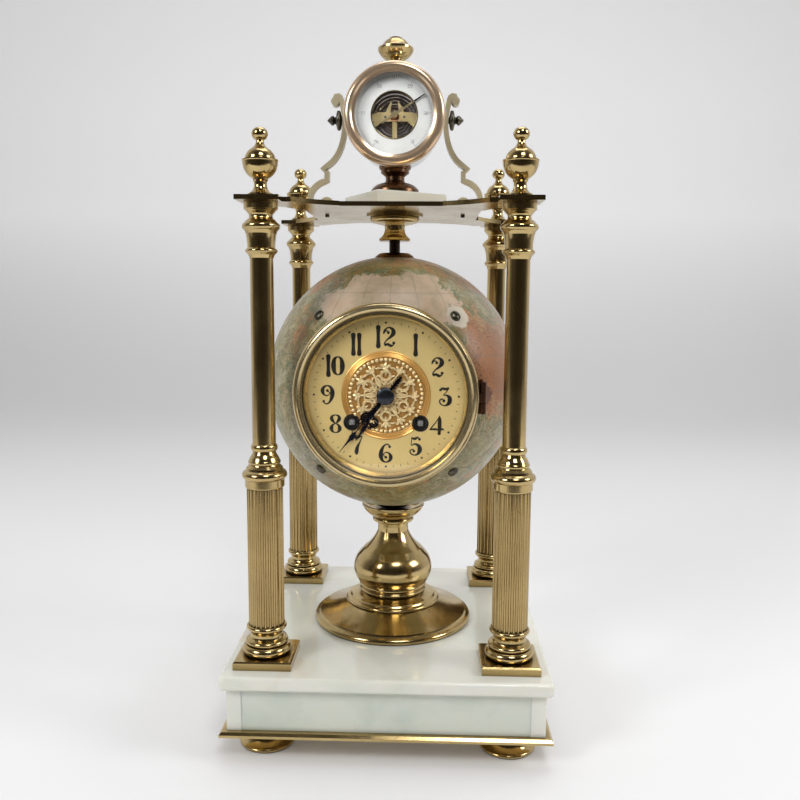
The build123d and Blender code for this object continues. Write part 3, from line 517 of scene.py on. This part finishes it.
def flatStroke(bm, points, low, high, steps=6, capSteps=6):  # a pen stroke: points of x, y and half width
    line = smoothPath(points, steps)
    across = normals2d(line)
    left = [(x + nx * w, y + ny * w) for (x, y, w), (nx, ny) in zip(line, across)]
    right = [(x - nx * w, y - ny * w) for (x, y, w), (nx, ny) in zip(line, across)]
    caps = []
    for (x, y, w), (nx, ny), sense in ((line[-1], across[-1], 1), (line[0], across[0], -1)):
        turns = [math.pi * n / capSteps for n in range(1, capSteps)]
        caps.append([(x + sense * w * (nx * math.cos(a) + ny * math.sin(a)),
                      y + sense * w * (ny * math.cos(a) - nx * math.sin(a))) for a in turns])
    outline = left + caps[0] + right[::-1] + caps[1]
    count, total = len(line), len(outline)
    back = total - len(caps[1]) - 1
    faces = [(n, n + 1, back - n - 1, back - n) for n in range(count - 1)]
    faces.append(list(range(count - 1, count + len(caps[0]) + 1)))
    faces.append([n % total for n in range(back, total + 1)])
    prism(bm, outline, [face[::-1] for face in faces], low, high)


def flatDisc(bm, x, y, radius, low, high, sides=20):
    turns = [2 * math.pi * n / sides for n in range(sides)]
    prism(bm, [(x + radius * math.cos(a), y + radius * math.sin(a)) for a in turns], [range(sides)], low,
          high)


def roundStroke(bm, points, z, flatten=1.0, sides=8, steps=5, closed=False):
    line = smoothPath(points, steps)
    across = normals2d(line)
    if closed:
        line = line[:-1]
        across = across[:-1]
        dx, dy = line[1][0] - line[-1][0], line[1][1] - line[-1][1]
        size = math.hypot(dx, dy)
        across[0] = (-dy / size, dx / size)
    rings = []
    for (x, y, w), (nx, ny) in zip(line, across):
        ring = []
        for n in range(sides):
            a = 2 * math.pi * n / sides
            ring.append(bm.verts.new((x + nx * w * math.cos(a), y + ny * w * math.cos(a),
                                      z + w * flatten * math.sin(a))))
        rings.append(ring)
    pairs = list(zip(rings, rings[1:])) + ([(rings[-1], rings[0])] if closed else [])
    for first, second in pairs:
        for n in range(sides):
            bm.faces.new((first[n], first[(n + 1) % sides], second[(n + 1) % sides], second[n]))
    if not closed:
        bm.faces.new(list(reversed(rings[0])))
        bm.faces.new(rings[-1])


def bead(bm, x, y, radius, z, flatten=0.8):
    matrix = Matrix.Translation((x, y, z)) @ Matrix.Diagonal((radius, radius, radius * flatten, 1))
    bmesh.ops.create_uvsphere(bm, u_segments=12, v_segments=8, radius=1.0, matrix=matrix)


def spin(bm, outline, sides=96, closed=False):  # turned about z; a closed outline never meets the axis
    rings = []
    for r, z in outline:
        if r < 1e-6:
            rings.append([bm.verts.new((0, 0, z))])
        else:
            rings.append([bm.verts.new((r * math.cos(a), r * math.sin(a), z))
                          for a in (2 * math.pi * n / sides for n in range(sides))])
    pairs = list(zip(rings, rings[1:])) + ([(rings[-1], rings[0])] if closed else [])
    for low, high in pairs:
        for n in range(sides):
            m = (n + 1) % sides
            if len(low) == 1:
                bm.faces.new((low[0], high[m], high[n])[::-1])
            elif len(high) == 1:
                bm.faces.new((low[n], low[m], high[0]))
            else:
                bm.faces.new((low[n], low[m], high[m], high[n]))


def finishPiece(bm, name, matrix, material, body, replaces=()):  # smooth, with sharp edges kept
    bmesh.ops.recalc_face_normals(bm, faces=bm.faces)
    mesh = bpy.data.meshes.new(name)
    bm.to_mesh(mesh)
    bm.free()
    mesh.transform(matrix)
    mesh.materials.append(material)
    piece = bpy.data.objects.new(name, mesh)
    scene.collection.objects.link(piece)
    for face in mesh.polygons:
        face.use_smooth = True
    mesh.set_sharp_from_angle(angle=math.radians(35))
    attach(piece, body)
    if replaces:
        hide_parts(*replaces)


# clock dial
# each figure is drawn one unit high: strokes of (x, y, half width), and single points are round drops
figures = {
    "0": (0.62, [[(0.31, 1.0, 0.02), (0.13, 0.86, 0.07), (0.07, 0.5, 0.11), (0.13, 0.14, 0.07),
                  (0.31, 0.0, 0.02)]]),
    "1": (0.22, [[(0.11, 1.0, 0.105), (0.11, 0.75, 0.08), (0.11, 0.5, 0.075), (0.11, 0.25, 0.08),
                  (0.11, 0.0, 0.105)]]),
    "2": (0.72, [[(0.33, 0.72, 0.02), (0.27, 0.82, 0.025), (0.14, 0.78, 0.03), (0.08, 0.66, 0.03),
                  (0.13, 0.84, 0.035), (0.33, 0.99, 0.03), (0.55, 0.9, 0.07), (0.6, 0.7, 0.1),
                  (0.46, 0.5, 0.06), (0.26, 0.34, 0.03), (0.13, 0.16, 0.03), (0.16, 0.07, 0.035),
                  (0.3, 0.1, 0.055), (0.46, 0.02, 0.06), (0.58, 0.06, 0.03), (0.64, 0.16, 0.03)],
                 [(0.33, 0.72, 0.065)], [(0.62, 0.17, 0.065)], [(0.18, 0.07, 0.06)]]),
    "3": (0.7, [[(0.1, 0.84, 0.03), (0.2, 0.93, 0.05), (0.4, 0.9, 0.055), (0.55, 0.97, 0.03),
                 (0.42, 0.74, 0.02), (0.28, 0.58, 0.02), (0.45, 0.56, 0.04), (0.6, 0.42, 0.09),
                 (0.58, 0.16, 0.09), (0.36, 0.0, 0.03), (0.12, 0.1, 0.03), (0.08, 0.28, 0.03),
                 (0.2, 0.36, 0.03), (0.32, 0.28, 0.02)],
                [(0.3, 0.26, 0.065)], [(0.11, 0.85, 0.06)]]),
    "4": (0.8, [[(0.55, 1.0, 0.03), (0.56, 0.8, 0.08), (0.56, 0.5, 0.085), (0.55, 0.2, 0.075),
                 (0.54, 0.06, 0.04)],
                [(0.54, 0.98, 0.02), (0.36, 0.68, 0.022), (0.16, 0.42, 0.028), (0.05, 0.26, 0.03)],
                [(0.04, 0.27, 0.025), (0.3, 0.29, 0.05), (0.55, 0.26, 0.03), (0.7, 0.3, 0.05),
                 (0.79, 0.25, 0.02)],
                [(0.54, 0.06, 0.075)]]),
    "5": (0.68, [[(0.16, 0.96, 0.025), (0.32, 0.9, 0.06), (0.48, 0.98, 0.04), (0.58, 0.9, 0.02)],
                 [(0.17, 0.96, 0.02), (0.15, 0.75, 0.02), (0.14, 0.54, 0.02), (0.34, 0.62, 0.04),
                  (0.55, 0.5, 0.08), (0.6, 0.28, 0.1), (0.5, 0.08, 0.06), (0.32, 0.0, 0.03),
                  (0.12, 0.08, 0.03), (0.08, 0.24, 0.03), (0.22, 0.32, 0.025), (0.3, 0.24, 0.02)],
                 [(0.28, 0.22, 0.06)], [(0.58, 0.88, 0.06)]]),
    "6": (0.66, [[(0.56, 0.88, 0.03), (0.42, 1.0, 0.03), (0.24, 0.92, 0.04), (0.1, 0.66, 0.08),
                  (0.06, 0.36, 0.1), (0.14, 0.1, 0.06), (0.34, 0.0, 0.03), (0.54, 0.1, 0.06),
                  (0.6, 0.3, 0.085), (0.5, 0.5, 0.04), (0.32, 0.54, 0.025), (0.2, 0.42, 0.02),
                  (0.3, 0.3, 0.02)], [(0.33, 0.27, 0.065)], [(0.54, 0.86, 0.06)]]),
    "7": (0.64, [[(0.06, 0.8, 0.025), (0.14, 0.94, 0.05), (0.3, 0.9, 0.065), (0.46, 0.96, 0.04),
                  (0.6, 0.96, 0.02), (0.5, 0.7, 0.03), (0.36, 0.4, 0.07), (0.3, 0.12, 0.09),
                  (0.3, 0.02, 0.06)], [(0.07, 0.8, 0.055)]]),
    "8": (0.6, [[(0.3, 0.99, 0.02), (0.13, 0.92, 0.05), (0.09, 0.77, 0.08), (0.2, 0.6, 0.05),
                 (0.3, 0.52, 0.02), (0.46, 0.42, 0.05), (0.53, 0.24, 0.09), (0.46, 0.07, 0.05),
                 (0.3, 0.0, 0.02)]]),
}
for figure in "08":  # the right half is the left one turned over
    width, strokes = figures[figure]
    strokes.append([(width - x, y, w) for x, y, w in strokes[0]])
figures["9"] = (0.66, [[(0.66 - x, 1.0 - y, w) for x, y, w in stroke] for stroke in figures["6"][1]])

dialWork = {"figureRadius": 33.7, "figureHeight": 10.6, "dotRadius": 41.6, "face": 57.0, "inkHeight": 0.07,
            "tickInner": 41.0, "tickOuter": 42.1, "tickHalf": 0.13, "dotSize": 0.62, "boldness": 1.22,
            "holeX": 19.8, "holeY": -15.9, "holeRadius": 4.3, "cupEye": 2.3, "cupBack": 54.6,
            "cupFloor": 55.2}


def drawNumber(bm, text, x, y, height, low, high, weight=1.0):
    gap = 0.1
    widths = [figures[c][0] for c in text]
    left = -(sum(widths) + gap * (len(text) - 1)) / 2
    for character in text:
        width, strokes = figures[character]
        for stroke in strokes:
            placed = [(x + (left + a) * height, y + (b - 0.5) * height, w * height * weight)
                      for a, b, w in stroke]
            if len(placed) == 1:
                flatDisc(bm, *placed[0], low, high)
            else:
                flatStroke(bm, placed, low, high)
        left += width + gap


def buildClockDial():
    ink, tree, shader = newMaterial("blackEnamel", Roughness=0.3)
    worn = noise(tree, objectPoint(tree), 700.0, 3.0)
    paint(tree, shader, ramp(tree, worn, [(0.3, (0.006, 0.006, 0.007)), (0.8, (0.03, 0.025, 0.02))]))
    low, high = dialWork["face"] - 0.02, dialWork["face"] + dialWork["inkHeight"]
    bm = bmesh.new()
    for hour in range(1, 13):
        a = math.radians(30 * hour)
        drawNumber(bm, str(hour), dialWork["figureRadius"] * math.sin(a),
                   dialWork["figureRadius"] * math.cos(a), dialWork["figureHeight"], low, high,
                   dialWork["boldness"])
    finishPiece(bm, "dialNumerals", clockFace, ink, "globe")
    bm = bmesh.new()
    for minute in range(60):
        a = math.radians(6 * minute)
        s, c = math.sin(a), math.cos(a)
        if minute % 5 == 0:
            flatDisc(bm, dialWork["dotRadius"] * s, dialWork["dotRadius"] * c, dialWork["dotSize"], low,
                     high)
        else:
            reach = (dialWork["tickInner"], dialWork["tickOuter"])
            flatStroke(bm, [(r * s, r * c, dialWork["tickHalf"]) for r in reach], low, high)
    finishPiece(bm, "minuteTrack", clockFace, ink, "globe")
    bm = bmesh.new()
    rim, eye, face = dialWork["holeRadius"], dialWork["cupEye"], dialWork["face"]
    back, floor = dialWork["cupBack"], dialWork["cupFloor"]
    cup = [(eye, back), (eye, floor), (rim - 0.4, floor), (rim - 0.3, face), (rim - 0.1, face + 0.35),
           (rim + 0.4, face + 0.35), (rim + 0.5, face + 0.02), (rim - 0.02, face), (rim - 0.02, back)]
    for side in (-1, 1):
        part = bmesh.new()
        spin(part, cup, 40, closed=True)
        bmesh.ops.translate(part, verts=part.verts, vec=(side * dialWork["holeX"], dialWork["holeY"], 0))
        scratch = bpy.data.meshes.new("scratch")
        part.to_mesh(scratch)
        part.free()
        bm.from_mesh(scratch)
        bpy.data.meshes.remove(scratch)
    finishPiece(bm, "windingGrommets", clockFace, ink, "globe")
    print("dial drawn")


def rotated(points, degrees):
    a = math.radians(degrees)
    return [(x * math.cos(a) + y * math.sin(a), -x * math.sin(a) + y * math.cos(a), *rest)
            for x, y, *rest in points]


medallionWork = {"outer": 25.6, "inner": 6.2, "beadRing": 20.75, "beads": 50, "beadSize": 1.15,
                 "scoop": 4.86, "reliefGap": 5.2, "relief": 0.5}


def buildMedallion():
    reddish = metal("orangeGilt", (0.68, 0.37, 0.10), (0.46, 0.22, 0.05), (0.16, 0.06, 0.015),
                    bloom=0.5, spots=0.2, smooth=0.28, rough=0.42, metallic=0.6)
    paleGilt = metal("paleGilt", (0.92, 0.72, 0.38), (0.76, 0.50, 0.20), (0.40, 0.17, 0.03),
                     bloom=0.3, spots=0.15, smooth=0.24, rough=0.38, metallic=0.5)
    z, scoop = dialWork["face"], medallionWork["scoop"]
    outer, inner = medallionWork["outer"], medallionWork["inner"]
    holes = [(side * dialWork["holeX"], dialWork["holeY"]) for side in (-1, 1)]

    def clearOfHoles(x, y, room=medallionWork["reliefGap"]):
        return all(math.hypot(x - hx, y - hy) > room for hx, hy in holes)

    bm = bmesh.new()
    mouldings = [(outer, 0.01), (outer, 0.3), (25.2, 0.5), (24.8, 0.3), (24.5, 0.12), (24.2, 0.3),
                 (23.8, 0.12), (23.5, 0.3), (23.1, 0.12), (22.7, 0.4), (22.2, 0.5), (21.9, 0.3),
                 (21.7, 0.08)]
    sheet = [(r, 0.06) for r in (20.5, 19.2, 18.0, 16.8, 15.6)] + [(14.0, 0.05), (10.0, 0.04), (inner, 0.03)]
    under = [(r, 0.01) for r in (inner, 10.0, 14.0, 15.6, 16.8, 18.0, 19.2, 20.5, 21.7, 22.7, 23.5, 24.5)]
    spin(bm, [(r, z + rise) for r, rise in mouldings + sheet + under], 240, closed=True)
    for vertex in bm.verts:  # the sheet is scooped out round the winding holes
        for hx, hy in holes:
            away = math.hypot(vertex.co.x - hx, vertex.co.y - hy)
            if 0.01 < away < scoop:
                vertex.co.x = hx + (vertex.co.x - hx) * scoop / away
                vertex.co.y = hy + (vertex.co.y - hy) * scoop / away
                vertex.co.z = min(vertex.co.z, z + 0.02)
    inside = [face for face in bm.faces if not clearOfHoles(*face.calc_center_median()[:2], scoop - 0.02)]
    bmesh.ops.delete(bm, geom=inside, context="FACES")
    finishPiece(bm, "medallionGround", clockFace, reddish, "globe", replaces=("dial_medallion",))

    bm = bmesh.new()
    for n in range(medallionWork["beads"]):
        a = 2 * math.pi * n / medallionWork["beads"]
        x, y = medallionWork["beadRing"] * math.sin(a), medallionWork["beadRing"] * math.cos(a)
        if clearOfHoles(x, y):
            bead(bm, x, y, medallionWork["beadSize"], z + 0.15)
    top = z + medallionWork["relief"]
    for n in range(12):
        turn = 30 * n
        fleuron = [[(0, 10.4, 0.3), (0, 13.0, 0.35), (0, 14.2, 0.3)],
                   [(0, 14.0, 0.3), (0, 15.4, 0.62), (0, 16.8, 0.45), (0, 18.0, 0.1)],
                   [(0, 14.2, 0.3), (0.9, 15.2, 0.45), (1.7, 16.0, 0.42), (2.0, 15.2, 0.3)],
                   [(0, 14.2, 0.3), (-0.9, 15.2, 0.45), (-1.7, 16.0, 0.42), (-2.0, 15.2, 0.3)],
                   [(-1.1, 13.7, 0.28), (0, 14.1, 0.42), (1.1, 13.7, 0.28)]]
        for stroke in fleuron:
            placed = rotated([(1.3 * x, y + 1.5, 1.9 * w) for x, y, w in stroke], turn)
            if all(clearOfHoles(x, y) for x, y, w in placed):
                roundStroke(bm, placed, top, 0.8)
        swag = rotated([(2.2, 16.6, 0.4), (3.4, 16.0, 0.6), (4.4, 15.8, 0.66), (5.4, 15.2, 0.6),
                        (6.5, 14.4, 0.4)], turn)
        if all(clearOfHoles(x, y) for x, y, w in swag):
            roundStroke(bm, swag, top - 0.05, 0.7)
    for n in range(6):
        turn = 60 * n
        loop = [(2.7 * math.sin(a), 11.6 + 2.7 * math.cos(a), 0.9)
                for a in (2 * math.pi * k / 10 for k in range(11))]
        roundStroke(bm, rotated(loop, turn), top, 0.75, closed=True)
        leaf = rotated([(0, 5.4, 0.5), (0, 6.8, 1.3), (0, 8.0, 1.0), (0, 9.0, 0.4)], turn)
        roundStroke(bm, leaf, top, 0.55)
        for side in (-1, 1):
            vein = rotated([(side * 0.7, 5.8, 0.3), (side * 1.8, 7.4, 0.6), (side * 3.2, 8.7, 0.42)], turn)
            roundStroke(bm, vein, top, 0.7)
        petal = rotated([(0, 5.2, 0.6), (0, 7.6, 1.5), (0, 10.2, 1.4), (0, 12.6, 0.5)], turn + 30)
        roundStroke(bm, petal, top, 0.45)
        for side in (-1, 1):
            curl = rotated([(side * 0.6, 12.4, 0.4), (side * 2.0, 12.0, 0.58), (side * 2.9, 10.4, 0.55),
                            (side * 2.2, 8.9, 0.4)], turn + 30)
            roundStroke(bm, curl, top, 0.8)
    spin(bm, [(6.0, z), (5.9, z + 0.5), (5.5, z + 0.62), (5.0, z + 0.5), (4.9, z)], 60, closed=True)
    finishPiece(bm, "medallionFretwork", clockFace, paleGilt, "globe")
    print("medallion laid")


handWork = {"hourLow": 57.7, "minuteLow": 58.9, "thick": 0.5, "hourTurn": 213.3, "minuteTurn": 219.0,
            "hub": 4.0, "minuteEye": 1.72, "hourEye": 2.64}
colletWork = {"radius": 5.1, "low": 59.92, "rimHeight": 60.45, "top": 61.95, "slotHalf": 0.38,
              "slotDepth": 0.5}


def mirrored(strokes):
    return strokes + [[(-x, y, w) for x, y, w in stroke] for stroke in strokes]


def buildHand(name, strokes, low, turn, eye, body, node):
    bm = bmesh.new()
    high = low + handWork["thick"]
    spin(bm, [(eye, low), (handWork["hub"], low), (handWork["hub"], high), (eye, high)], 48, closed=True)
    for n, stroke in enumerate(strokes):
        lift = 0.012 * (n % 5)  # overlapping strokes never share a plane
        placed = rotated(stroke, turn)
        if len(placed) == 1:
            flatDisc(bm, *placed[0], low + lift, high - lift)
        else:
            flatStroke(bm, placed, low + lift, high - lift)
    finishPiece(bm, name, clockFace, finishes["blued_steel"], body, replaces=(node,))


def slottedDome(bm, radius, low, rimHeight, top, slotHalf, slotDepth):
    lines = [-0.995, -0.95, -0.85, -0.7, -0.5, -0.3, -0.15]
    rows = [r * radius for r in lines] + [-slotHalf - 0.03, -slotHalf, slotHalf, slotHalf + 0.03]
    rows += [-r * radius for r in reversed(lines)]
    grid = []
    for y in rows:
        chord = math.sqrt(radius * radius - y * y)
        line = []
        for n in range(25):
            x = chord * math.sin(math.pi * (n / 24 - 0.5))
            rise = math.sqrt(max(0.0, 1 - (x * x + y * y) / (radius * radius)))
            z = rimHeight + (top - rimHeight) * rise - (slotDepth if abs(y) <= slotHalf else 0.0)
            line.append(bm.verts.new((x, y, z)))
        grid.append(line)
    for first, second in zip(grid, grid[1:]):
        for n in range(24):
            bm.faces.new((first[n], first[n + 1], second[n + 1], second[n]))
    edge = grid[0] + [line[-1] for line in grid[1:-1]] + grid[-1][::-1] + [line[0] for line in grid[-2:0:-1]]
    floor = [bm.verts.new((v.co.x, v.co.y, low)) for v in edge]
    for n in range(len(edge)):
        m = (n + 1) % len(edge)
        bm.faces.new((edge[m], edge[n], floor[n], floor[m]))
    bm.faces.new(floor)


def buildHands():
    barbs = [[(0, y, 0.45), (1.0, y + 0.8, 0.3), (1.5, y + 1.5, 0.16)]
             for y in (5.6, 7.4, 9.2, 11.0, 12.8, 14.6)]
    curls = [[(0.2, 17.2, 0.4), (1.7, 18.6, 0.42), (2.7, 20.4, 0.38), (2.2, 21.9, 0.34), (1.2, 21.5, 0.26)],
             [(0.1, 29.6, 0.5), (1.2, 29.0, 0.34), (2.1, 28.0, 0.16)]]
    tail = [[(0, -y, 0.45), (1.0, -y - 0.8, 0.32), (1.6, -y - 1.6, 0.16)] for y in (6.0, 7.8, 9.6, 11.4)]
    minute = [[(0, 3, 1.0), (0, 9, 0.85), (0, 15, 0.75), (0, 19, 0.6)],
              [(0, 18, 0.55), (0, 23, 0.36), (0, 28, 0.34)],
              [(0, 27.2, 0.3), (0, 29.0, 1.1), (0, 31.0, 1.4), (0, 33.4, 0.85), (0, 37, 0.42),
               (0, 42.6, 0.12)], [(0, -3, 0.95), (0, -8, 0.8), (0, -12, 0.95),
                                  (0, -14.2, 0.5)]] + mirrored(barbs + curls + tail)
    buildHand("minuteHand", minute, handWork["minuteLow"], handWork["minuteTurn"], handWork["minuteEye"],
              "minute_train", "minute_hand")
    loopTurns = [math.radians(degrees) for degrees in range(-100, 221, 40)]
    loop = [(2.9 + 2.2 * math.sin(a), 17.0 + 2.4 * math.cos(a), 0.5) for a in loopTurns]
    scrollTurns = [math.radians(degrees) for degrees in range(-60, 181, 60)]
    scroll = [(2.9 + math.sin(a), 17.0 + math.cos(a), 0.4) for a in scrollTurns]
    side = [loop, scroll, [(0.2, 13.2, 0.4), (1.4, 14.6, 0.45), (1.0, 16.6, 0.4)], [(2.9, 20.2, 0.75)],
            [(0.2, 21.2, 0.4), (1.5, 20.6, 0.38), (2.4, 21.4, 0.18)]]
    hour = [[(0, 3, 0.95), (0, 9, 0.75), (0, 14, 0.55), (0, 21, 0.5)],
            [(0, 20.4, 0.4), (0, 22.6, 1.15), (0, 25, 0.8), (0, 28, 0.45), (0, 31.6, 0.12)]] + mirrored(side)
    buildHand("hourHand", hour, handWork["hourLow"], handWork["hourTurn"], handWork["hourEye"],
              "hour_train", "hour_hand")
    bm = bmesh.new()
    slottedDome(bm, **colletWork)
    steely = metal("greyBlueSteel", (0.20, 0.23, 0.28), (0.07, 0.08, 0.12), (0.015, 0.015, 0.02),
                   bloom=0.5, spots=0.3, smooth=0.16, rough=0.34)
    finishPiece(bm, "handCollet", clockFace, steely, "minute_train", replaces=("hand_collet",))
    print("hands fitted")


barometerWork = {"face": 15.45, "ink": 0.04, "tickOuter": 22.9, "tickInner": 21.6, "longTick": 20.8,
                 "tickHalf": 0.12, "tickStep": 2.9, "figureRadius": 18.9, "figureHeight": 2.0,
                 "figureStep": 58, "lightness": 0.8, "bridgeLow": 8.4, "bridgeHigh": 9.8, "pinHoleX": 5.7,
                 "pinHoleRadius": 0.75, "rings": 7, "ringStep": 1.95, "capsuleRadius": 18.0,
                 "capsuleEye": 3.2, "capsuleFace": 5.0}


def buildBarometerDial():
    ink, tree, shader = newMaterial("greyScale", Roughness=0.5)
    worn = noise(tree, objectPoint(tree), 260.0, 3.0)
    paint(tree, shader, ramp(tree, worn, [(0.3, (0.05, 0.055, 0.065)), (0.7, (0.16, 0.165, 0.18))]))
    low, high = barometerWork["face"] - 0.02, barometerWork["face"] + barometerWork["ink"]
    bm = bmesh.new()
    for n in range(-50, 51):
        a = math.radians(n * barometerWork["tickStep"])
        inner = barometerWork["longTick"] if n % 10 == 0 else barometerWork["tickInner"]
        reach = (inner, barometerWork["tickOuter"])
        flatStroke(bm, [(r * math.sin(a), r * math.cos(a), barometerWork["tickHalf"]) for r in reach],
                   low, high)
    for n, text in enumerate(("26", "27", "28", "29", "30", "31")):
        a = math.radians((n - 2.5) * barometerWork["figureStep"])
        r = barometerWork["figureRadius"]
        drawNumber(bm, text, r * math.sin(a), r * math.cos(a), barometerWork["figureHeight"], low, high,
                   barometerWork["lightness"])
    finishPiece(bm, "barometerScale", barometerFace, ink, "stand")
    bm = bmesh.new()
    spin(bm, [(13.75, 14.6), (14.25, 15.44), (14.2, 15.6), (13.9, 15.66), (13.5, 15.5), (13.5, 14.6)], 96,
         closed=True)
    finishPiece(bm, "dialOpeningRim", barometerFace, paleBrass, "stand")
    copper = metal("copperScrew", (0.80, 0.42, 0.26), (0.55, 0.25, 0.13), (0.12, 0.05, 0.03))
    bm = bmesh.new()
    spin(bm, [(0.8, 9.9), (2.7, 9.9), (2.6, 10.5), (1.8, 10.95), (0.8, 10.95)], 40, closed=True)
    finishPiece(bm, "centreScrew", barometerFace, copper, "stand")
    bm = bmesh.new()
    radius, eye = barometerWork["capsuleRadius"], barometerWork["capsuleEye"]
    face = barometerWork["capsuleFace"]
    profile = [(eye, 1.0), (radius, 1.0), (radius, face)]
    for n in range(barometerWork["rings"]):
        outer = radius - 0.8 - barometerWork["ringStep"] * n
        wave = ((0, 0), (0.35, 0.75), (0.8, 1.0), (1.25, 0.75), (1.6, 0))
        profile += [(outer - step, face + rise) for step, rise in wave]
    spin(bm, profile + [(eye, face)], 120, closed=True)
    finishPiece(bm, "vacuumCapsule", barometerFace, capsuleGrey, "stand",
                replaces=("barometer_movement",))
    bm = bmesh.new()
    strokes = [[(-13.4, -0.4, 2.2), (-9.0, 0.1, 2.7), (-4.0, 0, 2.7), (0, -0.2, 2.3), (4.0, 0, 2.7),
                (9.0, 0.1, 2.7), (13.4, -0.4, 2.2)], [(0, -1, 1.4), (0, -13.2, 1.4)]]
    strokes += mirrored([[(4.4, 1.2, 1.6), (3.3, 5.2, 1.0), (2.1, 9.0, 0.4)],
                         [(9.6, -1.4, 2.2), (11.8, -4.4, 1.4)]])
    for n, stroke in enumerate(strokes):
        flatStroke(bm, stroke, barometerWork["bridgeLow"] + 0.01 * n, barometerWork["bridgeHigh"] - 0.01 * n)
    finishPiece(bm, "capsuleBridge", barometerFace, lightBrass, "stand")
    bm = bmesh.new()
    for side in (-1, 1):
        flatDisc(bm, side * barometerWork["pinHoleX"], 0, barometerWork["pinHoleRadius"],
                 barometerWork["bridgeHigh"] - 0.2, barometerWork["bridgeHigh"] + 0.06, 16)
    finishPiece(bm, "bridgePinHoles", barometerFace, ink, "stand")
    print("barometer dial drawn")


buildClockDial()
buildMedallion()
buildHands()
buildBarometerDial()

# studio
studio = {"cameraPlace": (0.02095, -0.51323, slabTop + 0.20805), "pitchDown": 7.147, "turnLeft": 1.893,
          "roll": 0.378, "lens": 36.179, "near": -0.62, "far": 1.1, "half": 1.45, "curve": 0.8,
          "wall": 4.0, "glow": 0.40, "roomLight": 0.75, "aim": (0, 0, 0.2)}
softLights = {"softLeft": ((-1.0, -0.9, 0.9), 0.45, 8), "softRight": ((1.3, -0.3, 0.9), 0.5, 7),
              "softTop": ((0.1, 0.3, 1.7), 1.0, 7),
              "softFront": ((0.3, -1.1, 1.5), 0.5, 8)}  # place, size, watts


def buildStudio():
    camera = bpy.data.cameras.new("camera")
    camera.lens = studio["lens"]
    camera.sensor_width = 36.0
    camera.clip_start = 0.01
    seat = bpy.data.objects.new("camera", camera)
    turn = Matrix.Rotation(math.radians(studio["turnLeft"]), 4, "Z")
    tip = Matrix.Rotation(math.radians(90 - studio["pitchDown"]), 4, "X")
    roll = Matrix.Rotation(math.radians(studio["roll"]), 4, "Z")
    seat.matrix_world = Matrix.Translation(studio["cameraPlace"]) @ turn @ tip @ roll
    scene.collection.objects.link(seat)
    scene.camera = seat

    mesh = bpy.data.meshes.new("sweep")
    far, curve = studio["far"], studio["curve"]
    turns = [math.radians(9 * n) for n in range(1, 11)]
    rows = [(studio["near"], 0.0), (far, 0.0)]
    rows += [(far + curve * math.sin(a), curve - curve * math.cos(a)) for a in turns]
    rows += [(far + curve, studio["wall"])]
    points = [(x, y, z) for y, z in rows for x in (-studio["half"], studio["half"])]
    faces = [(2 * n, 2 * n + 1, 2 * n + 3, 2 * n + 2) for n in range(len(rows) - 1)]
    mesh.from_pydata(points, [], faces)
    for face in mesh.polygons:
        face.use_smooth = True
    sweep = bpy.data.objects.new("sweep", mesh)
    scene.collection.objects.link(sweep)
    cloth, tree, shader = newMaterial("paleSweep", Roughness=0.7)
    drift = noise(tree, objectPoint(tree), 0.8, 2.0)
    paint(tree, shader, ramp(tree, drift, [(0.2, (0.80, 0.80, 0.81)), (0.8, (0.84, 0.84, 0.85))]))
    split = addNode(tree, "ShaderNodeSeparateXYZ")
    join(tree, objectPoint(tree), split.inputs[0])
    join(tree, ramp(tree, split.outputs["Z"],
                    [(0.0, (0.20, 0.20, 0.20)), (0.5, (0.97, 0.98, 1.0)), (1.0, (1, 1, 1))]),
         shader.inputs["Emission Color"])
    shader.inputs["Emission Strength"].default_value = studio["glow"]
    mesh.materials.append(cloth)

    for name, (place, size, power) in softLights.items():
        light = bpy.data.lights.new(name, "AREA")
        light.shape = "SQUARE"
        light.size = size
        light.energy = power
        lamp = bpy.data.objects.new(name, light)
        lamp.location = place
        lamp.rotation_euler = (Vector(studio["aim"]) - Vector(place)).to_track_quat("-Z", "Y").to_euler()
        scene.collection.objects.link(lamp)

    world = bpy.data.worlds.new("room")
    scene.world = world
    world.use_nodes = True
    tree = world.node_tree
    point = addNode(tree, "ShaderNodeTexCoord").outputs["Generated"]
    split = addNode(tree, "ShaderNodeSeparateXYZ")
    join(tree, point, split.inputs[0])
    side = spread(tree, split.outputs["Y"], 0.5, 0.5)
    shade = ramp(tree, side, [(0.0, (0.04, 0.034, 0.028)), (0.3, (0.07, 0.06, 0.05)),
                              (0.5, (0.30, 0.29, 0.28)), (0.65, (0.9, 0.9, 0.92)), (1.0, (1, 1, 1))])
    join(tree, shade, tree.nodes["Background"].inputs["Color"])
    tree.nodes["Background"].inputs["Strength"].default_value = studio["roomLight"]


buildStudio()
scene.view_settings.view_transform = "Standard"
print("studio is up")
